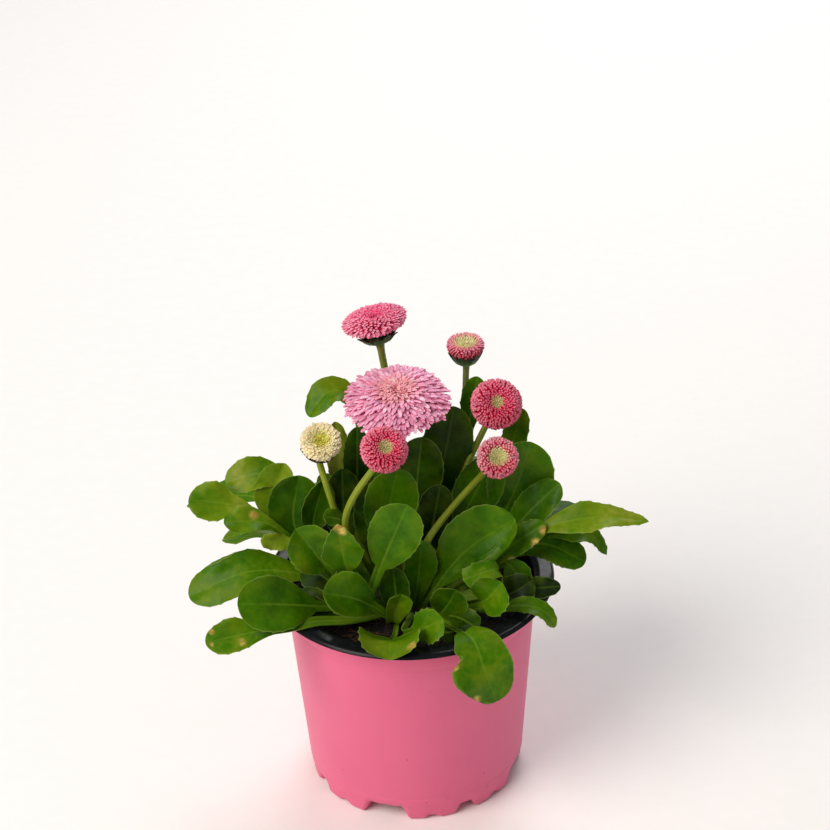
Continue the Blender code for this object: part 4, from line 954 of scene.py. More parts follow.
def leafFinish():
    # living leaf: green tissue with pale veins under a thin wax skin, so its shine is soft and broad
    material, tree, shader = newFinish(
        "daisy leaf, waxy cuticle", IOR=1.45, Specular_IOR_Level=0.13,
        Subsurface_Weight=0.12, Subsurface_Scale=1.0 * mm, Subsurface_Radius=(0.7, 1.0, 0.2))
    place = addNode(tree, "ShaderNodeTexCoord").outputs["Object"]
    parts = lookParts(tree, "leafMap")
    tones = lookParts(tree, "leafTone")
    blemish = addNode(tree, "ShaderNodeAttribute", attribute_name="blemish")
    across = addNode(tree, "ShaderNodeMath", operation="ABSOLUTE", links={0: parts[1]})
    # colour: each leaf's own tone, clouded over about 14 mm and mottled over 2 mm
    cloud = addNode(tree, "ShaderNodeTexNoise", links={0: place},
                    values={"Scale": 1000 / 14, "Detail": 3.0})
    mottle = addNode(tree, "ShaderNodeTexNoise", links={0: place},
                     values={"Scale": 1000 / 2, "Detail": 4.0})
    clouds = addNode(tree, "ShaderNodeMapRange", links={0: cloud},
                     values={1: 0.3, 2: 0.7, 3: -0.16, 4: 0.16})
    mottles = addNode(tree, "ShaderNodeMapRange", links={0: mottle},
                      values={1: 0.3, 2: 0.7, 3: -0.06, 4: 0.06})
    drift = addNode(tree, "ShaderNodeMath", operation="ADD", links={0: clouds, 1: mottles})
    level = addNode(tree, "ShaderNodeMath", operation="ADD", links={0: drift, 1: tones[0]})
    # leaf greens, from the darkest, painted shade for leaves deep in the rosette, to the yellow ones
    green = addNode(tree, "ShaderNodeValToRGB", links={0: level},
                    ramp=[(0.0, "#122603"), (0.17, "#1D3A01"), (0.35, "#2C5800"), (0.54, "#427200"),
                          (0.73, "#6E880E"), (0.94, "#989E3A")])
    # yellower towards the margin, in broad patches
    patches = addNode(tree, "ShaderNodeTexNoise", links={0: place},
                      values={"Scale": 1000 / 9, "Detail": 2.0})
    patch = addNode(tree, "ShaderNodeMapRange", links={0: patches},
                    values={1: 0.42, 2: 0.72, 3: 0.0, 4: 0.6})
    outer = addNode(tree, "ShaderNodeMapRange", links={0: parts[2]},
                    values={1: 0.1, 2: 1.0, 3: 0.25, 4: 1.0})
    yellowing = addNode(tree, "ShaderNodeMath", operation="MULTIPLY", links={0: patch, 1: outer})
    yellowed = addNode(tree, "ShaderNodeMix", data_type="RGBA", links={0: yellowing, 6: green},
                       values={7: "#5E7406"})
    # side veins, fading over 0.4 mm to each side, wider than life so that they show
    slant = addNode(tree, "ShaderNodeMath", operation="MULTIPLY_ADD", links={0: across, 2: parts[0]},
                    values={1: -leafLook["veinSlant"]})
    wander = addNode(tree, "ShaderNodeMath", operation="MULTIPLY_ADD", links={0: cloud, 2: slant},
                     values={1: 5.0})
    turns = addNode(tree, "ShaderNodeMath", operation="MULTIPLY", links={0: wander},
                    values={1: math.pi / leafLook["veinPitch"]})
    wave = addNode(tree, "ShaderNodeMath", operation="SINE", links={0: turns})
    flat = addNode(tree, "ShaderNodeMath", operation="ABSOLUTE", links={0: wave})
    sideVein = addNode(tree, "ShaderNodeMapRange", links={0: flat},
                       values={1: 0.02, 2: 0.25, 3: 0.05, 4: 0.0}, interpolation_type="SMOOTHSTEP")
    midrib = addNode(tree, "ShaderNodeMapRange", links={0: across}, values={1: 0.1, 2: 0.6, 3: 1.0, 4: 0.0},
                     interpolation_type="SMOOTHSTEP")
    fading = addNode(tree, "ShaderNodeMapRange", links={0: tones[2]},
                     values={1: 0.3, 2: 0.95, 3: 0.4, 4: 0.12})
    ribbed = addNode(tree, "ShaderNodeMath", operation="MULTIPLY", links={0: midrib, 1: fading})
    veins = addNode(tree, "ShaderNodeMath", operation="MAXIMUM", links={0: sideVein, 1: ribbed})
    veined = addNode(tree, "ShaderNodeMix", data_type="RGBA", links={0: veins, 6: yellowed},
                     values={7: "#7C9C2C"})
    # margin: a thin pale line where the blade ends, partly the edge's own paler tissue and partly a painted
    # highlight where the edge catches the light
    margin = addNode(tree, "ShaderNodeMapRange", links={0: parts[2]},
                     values={1: 0.95, 2: 1.0, 3: 0.0, 4: 0.35})
    edged = addNode(tree, "ShaderNodeMix", data_type="RGBA", links={0: margin, 6: veined},
                    values={7: "#A3B95A"})
    # petiole: yellow-green, most of all at its root
    stalk = addNode(tree, "ShaderNodeMapRange", links={0: tones[2]},
                    values={1: -0.9, 2: 0.25, 3: 0.6, 4: 0.0})
    stalked = addNode(tree, "ShaderNodeMix", data_type="RGBA", links={0: stalk, 6: edged},
                      values={7: "#5E7C20"})
    # underside: duller and paler
    under = addNode(tree, "ShaderNodeMapRange", links={0: tones[1]},
                    values={1: 0.0, 2: 1.0, 3: 0.45, 4: 0.0})
    sided = addNode(tree, "ShaderNodeMix", data_type="RGBA", links={0: under, 6: stalked},
                    values={7: "#5E7E34"})
    # blemishes: mottled yellow and brown
    scar = addNode(tree, "ShaderNodeValToRGB", links={0: mottle},
                   ramp=[(0.35, "#D8C66A"), (0.6, "#A9853A")])
    spotted = addNode(tree, "ShaderNodeMix", data_type="RGBA",
                      links={0: blemish.outputs["Fac"], 6: sided, 7: scar})
    rough = addNode(tree, "ShaderNodeMapRange", links={0: mottle}, values={1: 0.3, 2: 0.7, 3: 0.3, 4: 0.42})
    duller = addNode(tree, "ShaderNodeMath", operation="MULTIPLY_ADD", links={0: under, 2: rough},
                     values={1: 0.3})
    pores = addNode(tree, "ShaderNodeTexNoise", links={0: place},
                    values={"Scale": 1000 / 0.5, "Detail": 2.0})
    sunk = addNode(tree, "ShaderNodeMath", operation="MULTIPLY_ADD", links={0: sideVein, 2: pores},
                   values={1: -1.6})
    bump = addNode(tree, "ShaderNodeBump", links={"Height": sunk},
                   values={"Strength": 0.35, "Distance": 0.12 * mm})
    plug(tree, shader, {"Base Color": spotted, "Roughness": duller, "Normal": bump})
    return material


backLook = {
    "seed": 11,
    "tiers": (
        dict(count=8, first=14, last=176, reach=(72, 68), tip=(88, 97), width=(13, 18), blade=(30, 40),
             arch=10),
        dict(count=5, first=30, last=150, reach=(40, 36), tip=(112, 124), width=(13, 17), blade=(30, 38),
             arch=4),
    ),
    "left": dict(
        path=[(-15, 8), (-46, 26, 96), (-66, 37, 96), (-84, 43, 88)],
        width=13, blade=34, face=(-90, 70), fold=6, wave=0.6, point=0.9, tone=0.5,
    ),
}


def backLeaves(look):
    # hidden side: two tiers by a seeded rule, and one leaf at the left
    draw = random.Random(look["seed"])
    made = {"backLeft": look["left"]}
    for tierIndex, tier in enumerate(look["tiers"]):
        for i in range(tier["count"]):
            azimuth = tier["first"] + (tier["last"] - tier["first"]) / (tier["count"] - 1) * i
            azimuth = azimuth + draw.uniform(-4, 4)
            out = lookWay(azimuth, 0)
            scale = draw.uniform(0.88, 1.0)
            tip = np.array([out[0] * tier["reach"][0] * scale, out[1] * tier["reach"][1] * scale,
                            draw.uniform(*tier["tip"])])
            root = np.array([crownCentre[0] + out[0] * 13, crownCentre[1] + out[1] * 10, rootHeight])
            low = root + (tip - root) * 0.36 + (0, 0, tier["arch"] * 0.8)
            high = root + (tip - root) * 0.7 + (0, 0, tier["arch"])
            made[f"back{tierIndex}-{i}"] = dict(
                path=[root[:2], low, high, tip],
                width=draw.uniform(*tier["width"]),
                blade=draw.uniform(*tier["blade"]),
                face=(azimuth + 180 + draw.uniform(-20, 20), 62 - 22 * tierIndex),
                fold=draw.uniform(4, 14),
                wave=draw.uniform(0.4, 1.0),
                tone=0.36 + 0.06 * (i % 4),
            )
    return made


def makeLeaves(look):
    finish = leafFinish()
    groups = {"leavesLeft": [], "leavesCentre": [], "leavesRight": [],
              "leavesBack": list(backLeaves(backLook).items())}
    for name, leaf in leaves.items():
        tip = leaf["path"][-1][0]
        group = "leavesLeft" if tip < -27 else "leavesRight" if tip > 19 else "leavesCentre"
        groups[group].append((name, leaf))
    for group, members in groups.items():
        pile = newPile()
        for name, leaf in members:
            addLeaf(pile, name, leaf, look)
        setPiece(group, pile, [finish], ["rosette"])


makeLeaves(leafLook)
print("leaves")


# Flower heads, in mm: where each stem starts, bends and ends, how its head leans, and its size
# skin: the florets' tips from the head's middle to its lowest edge, as (share of the radius, height)
# inner and outer: a floret's deep, body and mouth colours, which change over at the blend; the deep colour
# is painted shade, darkening the florets' feet down between the others
heads = {
    "rosePompon": dict(
        node="rays_rose_pompon",
        root=(0, 8), via=(-4, 30, 128), seat=(-8.6, 32, 165), lean=(150, 79),
        radius=11.8,
        skin=((0.0, 6.5), (0.12, 6.8), (0.4, 7.7), (0.7, 7.9), (0.9, 7.1), (1.0, 5.6), (0.97, 4.3),
              (0.84, 3.0), (0.6, 2.2)),
        spacing=1.3, wide=0.58, lay=1.2, jitter=0.24,
        cup=3.9, bractReach=7.6, bractRise=0.4, stem=1.4, dense=0.3,
        inner=("#8A0C38", "#B41C4C", "#DC5C84"), outer=("#CC2A5C", "#E8507E", "#FCB4CC"),
        blend=(0.02, 0.16), fringe=0.3, grey=0.4,
    ),
    "openPink": dict(
        node="rays_open_pink",
        root=(-1, 1), via=(-3, 8, 115), seat=(-2.5, 8, 147.5), lean=(-90, 80),
        cup=6.0, reach=20.0, top=9.4, ribbons=1380,
        radius=20.0, bractReach=8.4, coreShare=0.8,
        skin=((0.0, 8.2), (0.2, 8.0), (0.4, 7.0), (0.6, 5.4), (0.74, 4.0), (0.8, 3.0), (0.72, 2.2),
              (0.4, 1.8)),
        dense=0.0,
        inner=("#DE587A", "#F48C9C", "#FFCCCE"), outer=("#E05292", "#F484B2", "#FFD4E6"),
        blend=(0.2, 0.5),
    ),
    "smallBud": dict(
        node="rays_small_bud",
        root=(11, 5), via=(21, 31, 125), seat=(23, 35, 154.0), lean=(-90, 86),
        radius=6.8, disc="disc_small_bud",
        skin=((0.0, 4.4), (0.3, 4.5), (0.55, 5.0), (0.78, 5.3), (0.93, 4.9), (1.0, 3.9), (0.98, 2.6),
              (0.86, 1.0)),
        spacing=0.96, wide=0.42, lay=0.5,
        cup=4.6, bractReach=6.6, bractRise=2.6, stem=1.25, dense=1.0,
        inner=("#D0C882", "#E0D8A0", "#EEE6BE"), outer=("#D84C72", "#EC849E", "#FACCD6"),
        blend=(0.24, 0.6), deep="#C8083C", sideRed=(0.58, 0.78, 1.0), grey=0.8,
    ),
    "crimsonRight": dict(
        node="rays_crimson_right",
        root=(5, -1), via=(20, 8, 118), seat=(32.5, 15, 142.5), lean=(-82, 45),
        radius=9.2, disc="disc_crimson_right",
        skin=((0.0, 6.6), (0.18, 6.9), (0.42, 8.2), (0.66, 8.6), (0.86, 7.3), (1.0, 4.9), (0.98, 2.9),
              (0.84, 0.9)),
        spacing=1.04, wide=0.42, lay=1.0,
        cup=5.0, dense=1.0,
        inner=("#CCC07A", "#DACE94", "#EADFB2"), outer=("#B40436", "#D81A50", "#F6AABE"),
        blend=(0.1, 0.22), deep="#CC0438", sideRed=(0.6, 0.85, 0.3), fringe=0.22,
    ),
    "crimsonCentre": dict(
        node="rays_crimson_centre",
        root=(-15, -7), via=(-22, -22, 120), seat=(-8, -23.5, 148), lean=(-74, 50),
        radius=8.2, disc="disc_crimson_centre",
        skin=((0.0, 6.0), (0.2, 6.3), (0.46, 7.7), (0.68, 8.1), (0.88, 6.8), (1.0, 4.6), (0.98, 2.7),
              (0.84, 0.9)),
        spacing=1.04, wide=0.42, lay=1.0,
        cup=4.8, dense=1.0,
        inner=("#C0B468", "#D6CA90", "#EEE2B6"), outer=("#B40436", "#D81A50", "#F6AABE"),
        blend=(0.13, 0.27), deep="#CC0438", sideRed=(0.6, 0.85, 0.3), fringe=0.22,
    ),
    "redWhiteRight": dict(
        node="rays_red_white_right",
        root=(1, -9), via=(7, -15, 107), seat=(32, -1, 130.5), lean=(-84, 38),
        radius=7.4, disc="disc_red_white_right",
        skin=((0.0, 4.6), (0.25, 4.9), (0.5, 6.3), (0.72, 6.8), (0.9, 5.9), (1.0, 4.2), (0.97, 2.4),
              (0.82, 0.8)),
        spacing=1.06, wide=0.44, lay=0.9, jitter=0.18,
        cup=4.8, bractReach=7.3, bractRise=1.8, dense=0.9,
        inner=("#C4BE6C", "#DAD494", "#F0E8BE"), outer=("#B80A34", "#D42A50", "#F8C0C8"),
        blend=(0.25, 0.39), fringe=0.26,
    ),
    "creamBud": dict(
        node="rays_cream_bud",
        root=(-17, -5), via=(-26, -9, 117), seat=(-30, -4, 140), lean=(-75, 60),
        radius=7.2, disc="disc_cream_bud",
        skin=((0.0, 4.8), (0.25, 5.1), (0.5, 5.9), (0.75, 6.3), (0.92, 5.4), (1.0, 4.0), (0.96, 2.3),
              (0.82, 0.8)),
        spacing=1.3, wide=0.66, lay=0.5, jitter=0.2,
        cup=5.0, bractReach=7.3, bractRise=2.2, dense=0.8,
        inner=("#C2BE34", "#DAD65C", "#ECE690"), outer=("#DED09A", "#F2E4B4", "#FCE8CC"),
        blend=(0.12, 0.4),
    ),
}
goldenAngle = math.pi * (3 - math.sqrt(5))
floretSides = 8


def headFrame(head):
    # turn and seat of a head, its own axis along Z
    axis = Vector(lookWay(*head["lean"]))
    turn = np.array(Vector((0, 0, 1)).rotation_difference(axis).to_matrix())
    return turn, np.array(head["seat"], float)


def strips(turns, reach, rise, halfWidths, halfDepths, sway, fold=0.0, mouth=0.0):
    # long thin bodies, each in the upright plane at its turn round the head's axis
    # the arrays hold strips by stations; fold lifts both edges into a channel,
    # and mouth cuts the last stations back on the inner side
    out = np.stack([np.cos(turns), np.sin(turns), np.zeros_like(turns)], axis=1)[:, None, :]
    side = np.stack([-np.sin(turns), np.cos(turns), np.zeros_like(turns)], axis=1)[:, None, :]
    up = np.array([0, 0, 1.0])[None, None, :]
    spine = out * reach[:, :, None] + side * sway[:, :, None] + up * rise[:, :, None]
    way = np.gradient(spine, axis=1)
    way[:, -1] = way[:, -2] = way[:, -3]
    way = unit(way)
    side = unit(side - way * np.sum(side * way, axis=2, keepdims=True))
    normal = np.cross(way, side)
    a = evenTurns(floretSides, 0.5)
    wide = halfWidths[:, :, None] * np.cos(a)
    deep = halfDepths[:, :, None] * np.sin(a) + fold * halfWidths[:, :, None] * np.cos(a) ** 2
    cut = np.zeros(spine.shape[1])
    cut[-2:] = mouth
    back = -(cut[None, :, None] * halfWidths[:, :, None] * (0.4 + np.sin(a)))
    return (spine[:, :, None, :] + side[:, :, None, :] * wide[..., None]
            + normal[:, :, None, :] * deep[..., None] + way[:, :, None, :] * back[..., None])


def stripFaces(count, stations, around):
    starts = np.arange(count) * stations * around
    return (tubeFaces(stations, around)[None] + starts[:, None, None]).reshape(-1, 4)


def pourStrips(pile, head, body, share, ring, chance, kind=0, inward=None, low=None):
    # share runs along a strip, ring from the head's middle to its edge, chance is each strip's own number,
    # low is how far a strip points down the leaning head's side
    turn, seat = headFrame(head)
    count, stations, around, _ = body.shape
    shape = (count, stations, around)
    looks = [np.broadcast_to(part, shape)
             for part in (share[None, :, None], ring[:, None, None], chance[:, None, None])]
    a = evenTurns(around, 0.5)
    facing = np.broadcast_to(0.5 + 0.5 * np.sin(a)[None, None, :], shape).copy()
    if inward is not None:
        facing[:, inward:, :] = 1.0
    flank = np.broadcast_to(np.abs(np.cos(a))[None, None, :], shape)
    lows = np.broadcast_to((np.zeros(count) if low is None else low)[:, None, None], shape)
    pour(pile, body.reshape(-1, 3) @ turn.T + seat, stripFaces(count, stations, around), kind=kind,
         floret=np.stack(looks, axis=-1).reshape(-1, 3),
         floretSide=np.stack([facing, flank, lows], axis=-1).reshape(-1, 3))


def bend(t, foot, knee, tip):
    # one measure of every strip's spine at its stations, from foot over knee to tip
    return foot[:, None] * (1 - t) ** 2 + knee[:, None] * (2 * t * (1 - t)) + tip[:, None] * t ** 2


def headSkin(head):
    # fine line through the skin's points, with its outward normals and the share of area inside each point
    points = [(share * head["radius"], 0.0, height) for share, height in head["skin"]]
    places, ways, _ = smoothPath(points, np.linspace(0, 1, 200))
    reach = np.maximum(places[:, 0], 0.0)
    rise = places[:, 2]
    normals = np.stack([-ways[:, 2], ways[:, 0]], axis=1)
    crowd = 1 + head["dense"] * np.exp(-(reach / (0.36 * head["radius"])) ** 2)
    steps = np.hypot(np.gradient(reach), np.gradient(rise))
    area = np.cumsum(2 * np.pi * reach * steps * crowd)
    return reach, rise, normals, crowd, area


def addQuills(pile, head, draw):
    # dense head: rolled florets in the golden angle's spirals, dark outside and pale at the mouth
    reach, rise, normals, crowd, area = headSkin(head)
    count = int(area[-1] / head["spacing"] ** 2 / 0.9)
    wanted = area[-1] * (np.arange(count) + 0.5) / count
    turns = np.arange(count) * goldenAngle + draw.normal(0, 0.035, count)
    ring = np.interp(wanted, area, np.linspace(0, 1, len(area)))
    tipReach = np.interp(wanted, area, reach)
    tipRise = np.interp(wanted, area, rise)
    way = np.stack([np.interp(wanted, area, normals[:, axis]) for axis in (0, 1)], axis=1)
    lean = head["lay"] * np.clip(tipReach / (0.3 * head["radius"]), 0, 1)
    way = unit(way + np.stack([lean, 0 * lean], axis=1) + draw.normal(0, 0.06, (count, 2)))
    proud = draw.normal(0, head.get("jitter", 0.14), count)
    tipReach = np.minimum(tipReach + way[:, 0] * proud, head["radius"] * 1.01)
    tipRise = np.maximum(tipRise + way[:, 1] * proud, 0.5)
    footRise = 0.2 * rise.max() + 0.42 * tipRise
    footReach = 0.5 * tipReach
    long = np.hypot(tipReach - footReach, tipRise - footRise)
    kneeReach = tipReach - way[:, 0] * long * 0.6
    kneeRise = np.maximum(tipRise - way[:, 1] * long * 0.6, 0.5)
    # the last station turns back into the mouth
    t = np.array([0.0, 0.35, 0.62, 0.82, 0.94, 1.0, 0.95])
    spineReach = bend(t, footReach, kneeReach, tipReach)
    spineRise = bend(t, footRise, kneeRise, tipRise)
    size = head["wide"] / np.interp(wanted, area, crowd) ** 0.5 * (1 + draw.normal(0, 0.07, count))
    wide = size[:, None] * np.array([0.6, 0.85, 1.0, 1.0, 0.92, 0.84, 0.5])[None, :]
    deep = wide * np.array([0.7, 0.7, 0.62, 0.6, 0.62, 0.66, 0.5])[None, :]
    sway = draw.normal(0, 0.16, count)[:, None] * t[None, :] ** 2
    body = strips(turns, spineReach, spineRise, wide, deep, sway, mouth=0.75)
    turn, _ = headFrame(head)
    out = np.stack([np.cos(turns), np.sin(turns), 0 * turns], axis=1) @ turn.T
    low = -out[:, 2] * np.clip(tipReach / head["radius"] * 1.4, 0, 1)
    share = np.maximum.accumulate(t)
    pourStrips(pile, head, body, share, ring, draw.uniform(0, 1, count), inward=6, low=low)


def addCore(pile, head):
    # what the florets stand on: a solid middle that fills the head behind them
    reach, rise, _, _, _ = headSkin(head)
    pick = np.linspace(2, len(reach) - 1, 16).astype(int)
    coreReach = np.concatenate([[0.05], 0.84 * reach[pick], [0.05]])
    coreRise = np.concatenate([[rise[0] * 0.8], 0.2 * rise.max() * 0.3 + 0.80 * rise[pick], [0.35]])
    around = 48
    ring = turned(coreReach[:, None], coreRise[:, None], evenTurns(around))[::-1]
    turn, seat = headFrame(head)
    looks = np.zeros((ring.size // 3, 3))
    # painted shade: unless the head gives its own share, the core takes the florets' deep colour
    looks[:, 0] = head.get("coreShare", 0.0)
    looks[:, 1] = np.repeat(np.concatenate([[0], pick / len(reach), [1]])[::-1], around)
    looks[:, 2] = 0.5
    pour(pile, ring.reshape(-1, 3) @ turn.T + seat, gridFaces(len(coreReach), around), floret=looks,
         floretSide=np.zeros_like(looks))


def addRibbons(pile, head, draw):
    # loose head: broad blunt florets in layers, the outer ones level, the inner ones short and upright
    count = head["ribbons"]
    inward = (np.arange(count) / count) ** 1.2
    turns = np.arange(count) * goldenAngle + draw.normal(0, 0.04, count)
    lift = np.radians(4 + 62 * inward ** 1.2 + draw.normal(0, 6, count))
    tip = head["reach"] * (1 - 0.9 * inward) - np.abs(draw.normal(0, 1.1, count))
    startReach = 5.2 * (1 - inward) + 0.3
    startRise = 0.8 + 4.2 * inward
    length = np.clip(tip - startReach, 0, None) / np.maximum(np.cos(lift), 0.35) + 2.4 * inward
    tipReach = np.clip(startReach + length * np.cos(lift), 0.2, head["reach"])
    # the tips end on a dome, with some above it and some below
    inside = np.clip(1 - (tipReach / (head["reach"] * 1.02)) ** 2, 0, 1)
    dome = 0.9 + (head["top"] - 0.9) * np.sqrt(inside) ** 1.15
    tipRise = np.clip(dome + draw.normal(0, 0.55, count), 0.7, head["top"] + 0.3)
    kneeReach = startReach + (tipReach - startReach) * 0.5
    kneeRise = np.maximum(startRise, tipRise) + 1.5 - 1.1 * inward
    t = np.array([0.0, 0.2, 0.4, 0.58, 0.74, 0.87, 0.96, 1.0])
    spineReach = bend(t, startReach, kneeReach, tipReach)
    spineRise = bend(t, startRise, kneeRise, tipRise)
    spineRise += 0.18 * np.sin(t[None, :] * 7 + draw.uniform(0, 6, count)[:, None]) * t[None, :]
    taper = np.array([0.5, 0.75, 0.92, 1.0, 1.02, 0.98, 0.8, 0.45])
    wide = (0.86 - 0.36 * inward)[:, None] * taper[None, :]
    wide = wide * (1 + draw.normal(0, 0.09, count))[:, None]
    sway = draw.normal(0, 0.95, count)[:, None] * t[None, :] ** 2
    body = strips(turns, spineReach, spineRise, wide, np.full_like(wide, 0.12), sway, fold=0.32)
    pourStrips(pile, head, body, t, 1 - inward, draw.uniform(0, 1, count))


def floretShades(tree, head, place):
    # deep, body and mouth colours of the florets, from the inner ones' to the outer ones'; the deep one is
    # painted shade
    start, end = head["blend"]
    outward = addNode(tree, "ShaderNodeMapRange", links={0: place}, values={1: start, 2: end},
                      interpolation_type="SMOOTHSTEP")
    return [addNode(tree, "ShaderNodeMix", data_type="RGBA", links={0: outward},
                    values={6: inner, 7: outer})
            for inner, outer in zip(head["inner"], head["outer"])]


def petalFinish(name, head):
    # ligule tissue: matt velvet cells full of sap, dark on the outer side and pale where it opens at the tip
    material, tree, shader = newFinish(name, Roughness=0.6, IOR=1.4, Subsurface_Weight=0.3,
                                       Subsurface_Scale=0.7 * mm, Subsurface_Radius=(1.0, 0.3, 0.35),
                                       Specular_IOR_Level=0.12)
    parts = lookParts(tree, "floret")
    sides = lookParts(tree, "floretSide")
    shades = floretShades(tree, head, parts[1])
    # painted shade: deep in the head, towards each floret's foot, the colour is darkest
    deep = addNode(tree, "ShaderNodeMapRange", links={0: parts[0]}, values={1: 0.35, 2: 0.75},
                   interpolation_type="SMOOTHSTEP")
    body = addNode(tree, "ShaderNodeMix", data_type="RGBA", links={0: deep, 6: shades[0], 7: shades[1]})
    # the side that hangs lower is a fuller red, partly the florets' red backs showing there and partly
    # painted shade; the flank in some heads is a fuller red too
    lower = addNode(tree, "ShaderNodeMapRange", links={0: sides[2]},
                    values={1: 0.1, 2: 0.6, 3: 0.0, 4: 0.62})
    start, end, amount = head.get("sideRed", (0.9, 1.0, 0.0))
    flank = addNode(tree, "ShaderNodeMapRange", links={0: parts[1]},
                    values={1: start, 2: end, 3: 0.0, 4: amount})
    red = addNode(tree, "ShaderNodeMath", operation="MAXIMUM", links={0: lower, 1: flank})
    fuller = addNode(tree, "ShaderNodeMix", data_type="RGBA", links={0: red, 6: body},
                     values={7: head.get("deep", head["outer"][1])})
    # the pale mouth shows more on the inner side than on the back
    fringe = addNode(tree, "ShaderNodeMath", operation="MULTIPLY_ADD", links={0: parts[1], 2: parts[0]},
                     values={1: head.get("fringe", 0.1)})
    pale = addNode(tree, "ShaderNodeMapRange", links={0: fringe}, interpolation_type="SMOOTHSTEP",
                   values={1: 0.9, 2: 1.2})
    inside = addNode(tree, "ShaderNodeMapRange", links={0: sides[0]},
                     values={1: 0.1, 2: 0.9, 3: 0.12, 4: 1.0})
    both = addNode(tree, "ShaderNodeMath", operation="MULTIPLY", links={0: pale, 1: inside})
    kept = addNode(tree, "ShaderNodeMath", operation="MULTIPLY_ADD", links={0: red},
                   values={1: -0.6, 2: 1.0})
    mouth = addNode(tree, "ShaderNodeMath", operation="MULTIPLY", links={0: both, 1: kept})
    mixed = addNode(tree, "ShaderNodeMix", data_type="RGBA", links={0: mouth, 6: fuller, 7: shades[2]})
    lighter = addNode(tree, "ShaderNodeMapRange", links={0: parts[2]},
                      values={1: 0, 2: 1, 3: 0.86, 4: 1.14})
    varied = addNode(tree, "ShaderNodeHueSaturation", links={"Value": lighter, "Color": mixed})
    grain = addNode(tree, "ShaderNodeTexNoise", values={"Scale": 1000 / 0.35, "Detail": 2.0})
    bump = addNode(tree, "ShaderNodeBump", links={"Height": grain},
                   values={"Strength": 0.25, "Distance": 0.06 * mm})
    plug(tree, shader, {"Base Color": varied, "Normal": bump})
    return material


def ribbonFinish(name, head):
    # open ligules: silky, whitish down the middle of the channel and magenta along both edges
    material, tree, shader = newFinish(name, Roughness=0.55, IOR=1.4, Subsurface_Weight=0.3,
                                       Subsurface_Scale=0.8 * mm, Subsurface_Radius=(1.0, 0.4, 0.5),
                                       Specular_IOR_Level=0.15)
    parts = lookParts(tree, "floret")
    sides = lookParts(tree, "floretSide")
    shades = floretShades(tree, head, parts[1])
    # painted shade: each ligule darkens towards its foot, deep in the head
    along = addNode(tree, "ShaderNodeMapRange", links={0: parts[0]}, values={1: 0.1, 2: 0.7},
                    interpolation_type="SMOOTHSTEP")
    body = addNode(tree, "ShaderNodeMix", data_type="RGBA", links={0: along, 6: shades[0], 7: shades[1]})
    middle = addNode(tree, "ShaderNodeMapRange", links={0: sides[1]},
                     values={1: 0.25, 2: 0.9, 3: 0.65, 4: 0.0})
    upper = addNode(tree, "ShaderNodeMapRange", links={0: sides[0]},
                    values={1: 0.3, 2: 0.7, 3: 0.25, 4: 1.0})
    streak = addNode(tree, "ShaderNodeMath", operation="MULTIPLY", links={0: middle, 1: upper})
    mixed = addNode(tree, "ShaderNodeMix", data_type="RGBA", links={0: streak, 6: body, 7: shades[2]})
    # about one ligule in four is paler
    faded = addNode(tree, "ShaderNodeMapRange", links={0: parts[2]},
                    values={1: 0.76, 2: 0.92, 3: 0.0, 4: 0.5})
    whitened = addNode(tree, "ShaderNodeMix", data_type="RGBA", links={0: faded, 6: mixed, 7: shades[2]})
    lighter = addNode(tree, "ShaderNodeMapRange", links={0: parts[2]},
                      values={1: 0, 2: 1, 3: 0.84, 4: 1.16})
    varied = addNode(tree, "ShaderNodeHueSaturation", links={"Value": lighter, "Color": whitened})
    plug(tree, shader, {"Base Color": varied})
    return material


def makeHeads():
    for name, head in heads.items():
        draw = np.random.default_rng(len(name) * 7 + 3)
        pile = newPile()
        if "ribbons" in head:
            addRibbons(pile, head, draw)
            finish = ribbonFinish(name + " ligules", head)
        else:
            addQuills(pile, head, draw)
            finish = petalFinish(name + " ligules", head)
        addCore(pile, head)
        # an eye is drawn by the short inner florets, so the head stands for its disc too
        nodes = [head[key] for key in ("node", "disc") if key in head]
        setPiece(name + "Florets", pile, [finish], nodes)


makeHeads()
print("heads")


# Stems, and the bract cups under the heads
stemLook = {
    "radius": 1.22,
    "around": 14,
    "stations": 56,
    "green": "#70880E",
    "pale": "#949C20",
    "grey": "#6A6A42",
    "bracts": 13,
    "bractShare": 0.215,   # half a bract's width, of the cup's edge
    "bractDark": "#2A3A22",
    "bractGreen": "#4A6A2A",
}


def stemFinish(look):
    # leafless stalk: juicy, finely ribbed and downy, yellow-green, greyer towards some of the heads
    material, tree, shader = newFinish(
        "daisy stalk, downy skin", Roughness=0.5, IOR=1.42, Subsurface_Weight=0.25,
        Subsurface_Scale=1.0 * mm, Subsurface_Radius=(0.7, 1.0, 0.25))
    place = addNode(tree, "ShaderNodeTexCoord").outputs["Object"]
    parts = lookParts(tree, "floret")
    blotch = addNode(tree, "ShaderNodeTexNoise", links={0: place},
                     values={"Scale": 1000 / 6, "Detail": 3.0})
    tone = addNode(tree, "ShaderNodeMix", data_type="RGBA", links={0: blotch},
                   values={6: look["green"], 7: look["pale"]})
    lower = addNode(tree, "ShaderNodeMapRange", links={0: parts[0]},
                    values={1: 0.0, 2: 0.5, 3: 0.5, 4: 0.0})
    rooted = addNode(tree, "ShaderNodeMix", data_type="RGBA", links={0: lower, 6: tone},
                     values={7: "#54720A"})
    greyed = addNode(tree, "ShaderNodeMix", data_type="RGBA", links={0: parts[2], 6: rooted},
                     values={7: look["grey"]})
    ribs = addNode(tree, "ShaderNodeMath", operation="SINE", links={0: parts[1]})
    bump = addNode(tree, "ShaderNodeBump", links={"Height": ribs},
                   values={"Strength": 0.4, "Distance": 0.08 * mm})
    plug(tree, shader, {"Base Color": greyed, "Normal": bump})
    return material


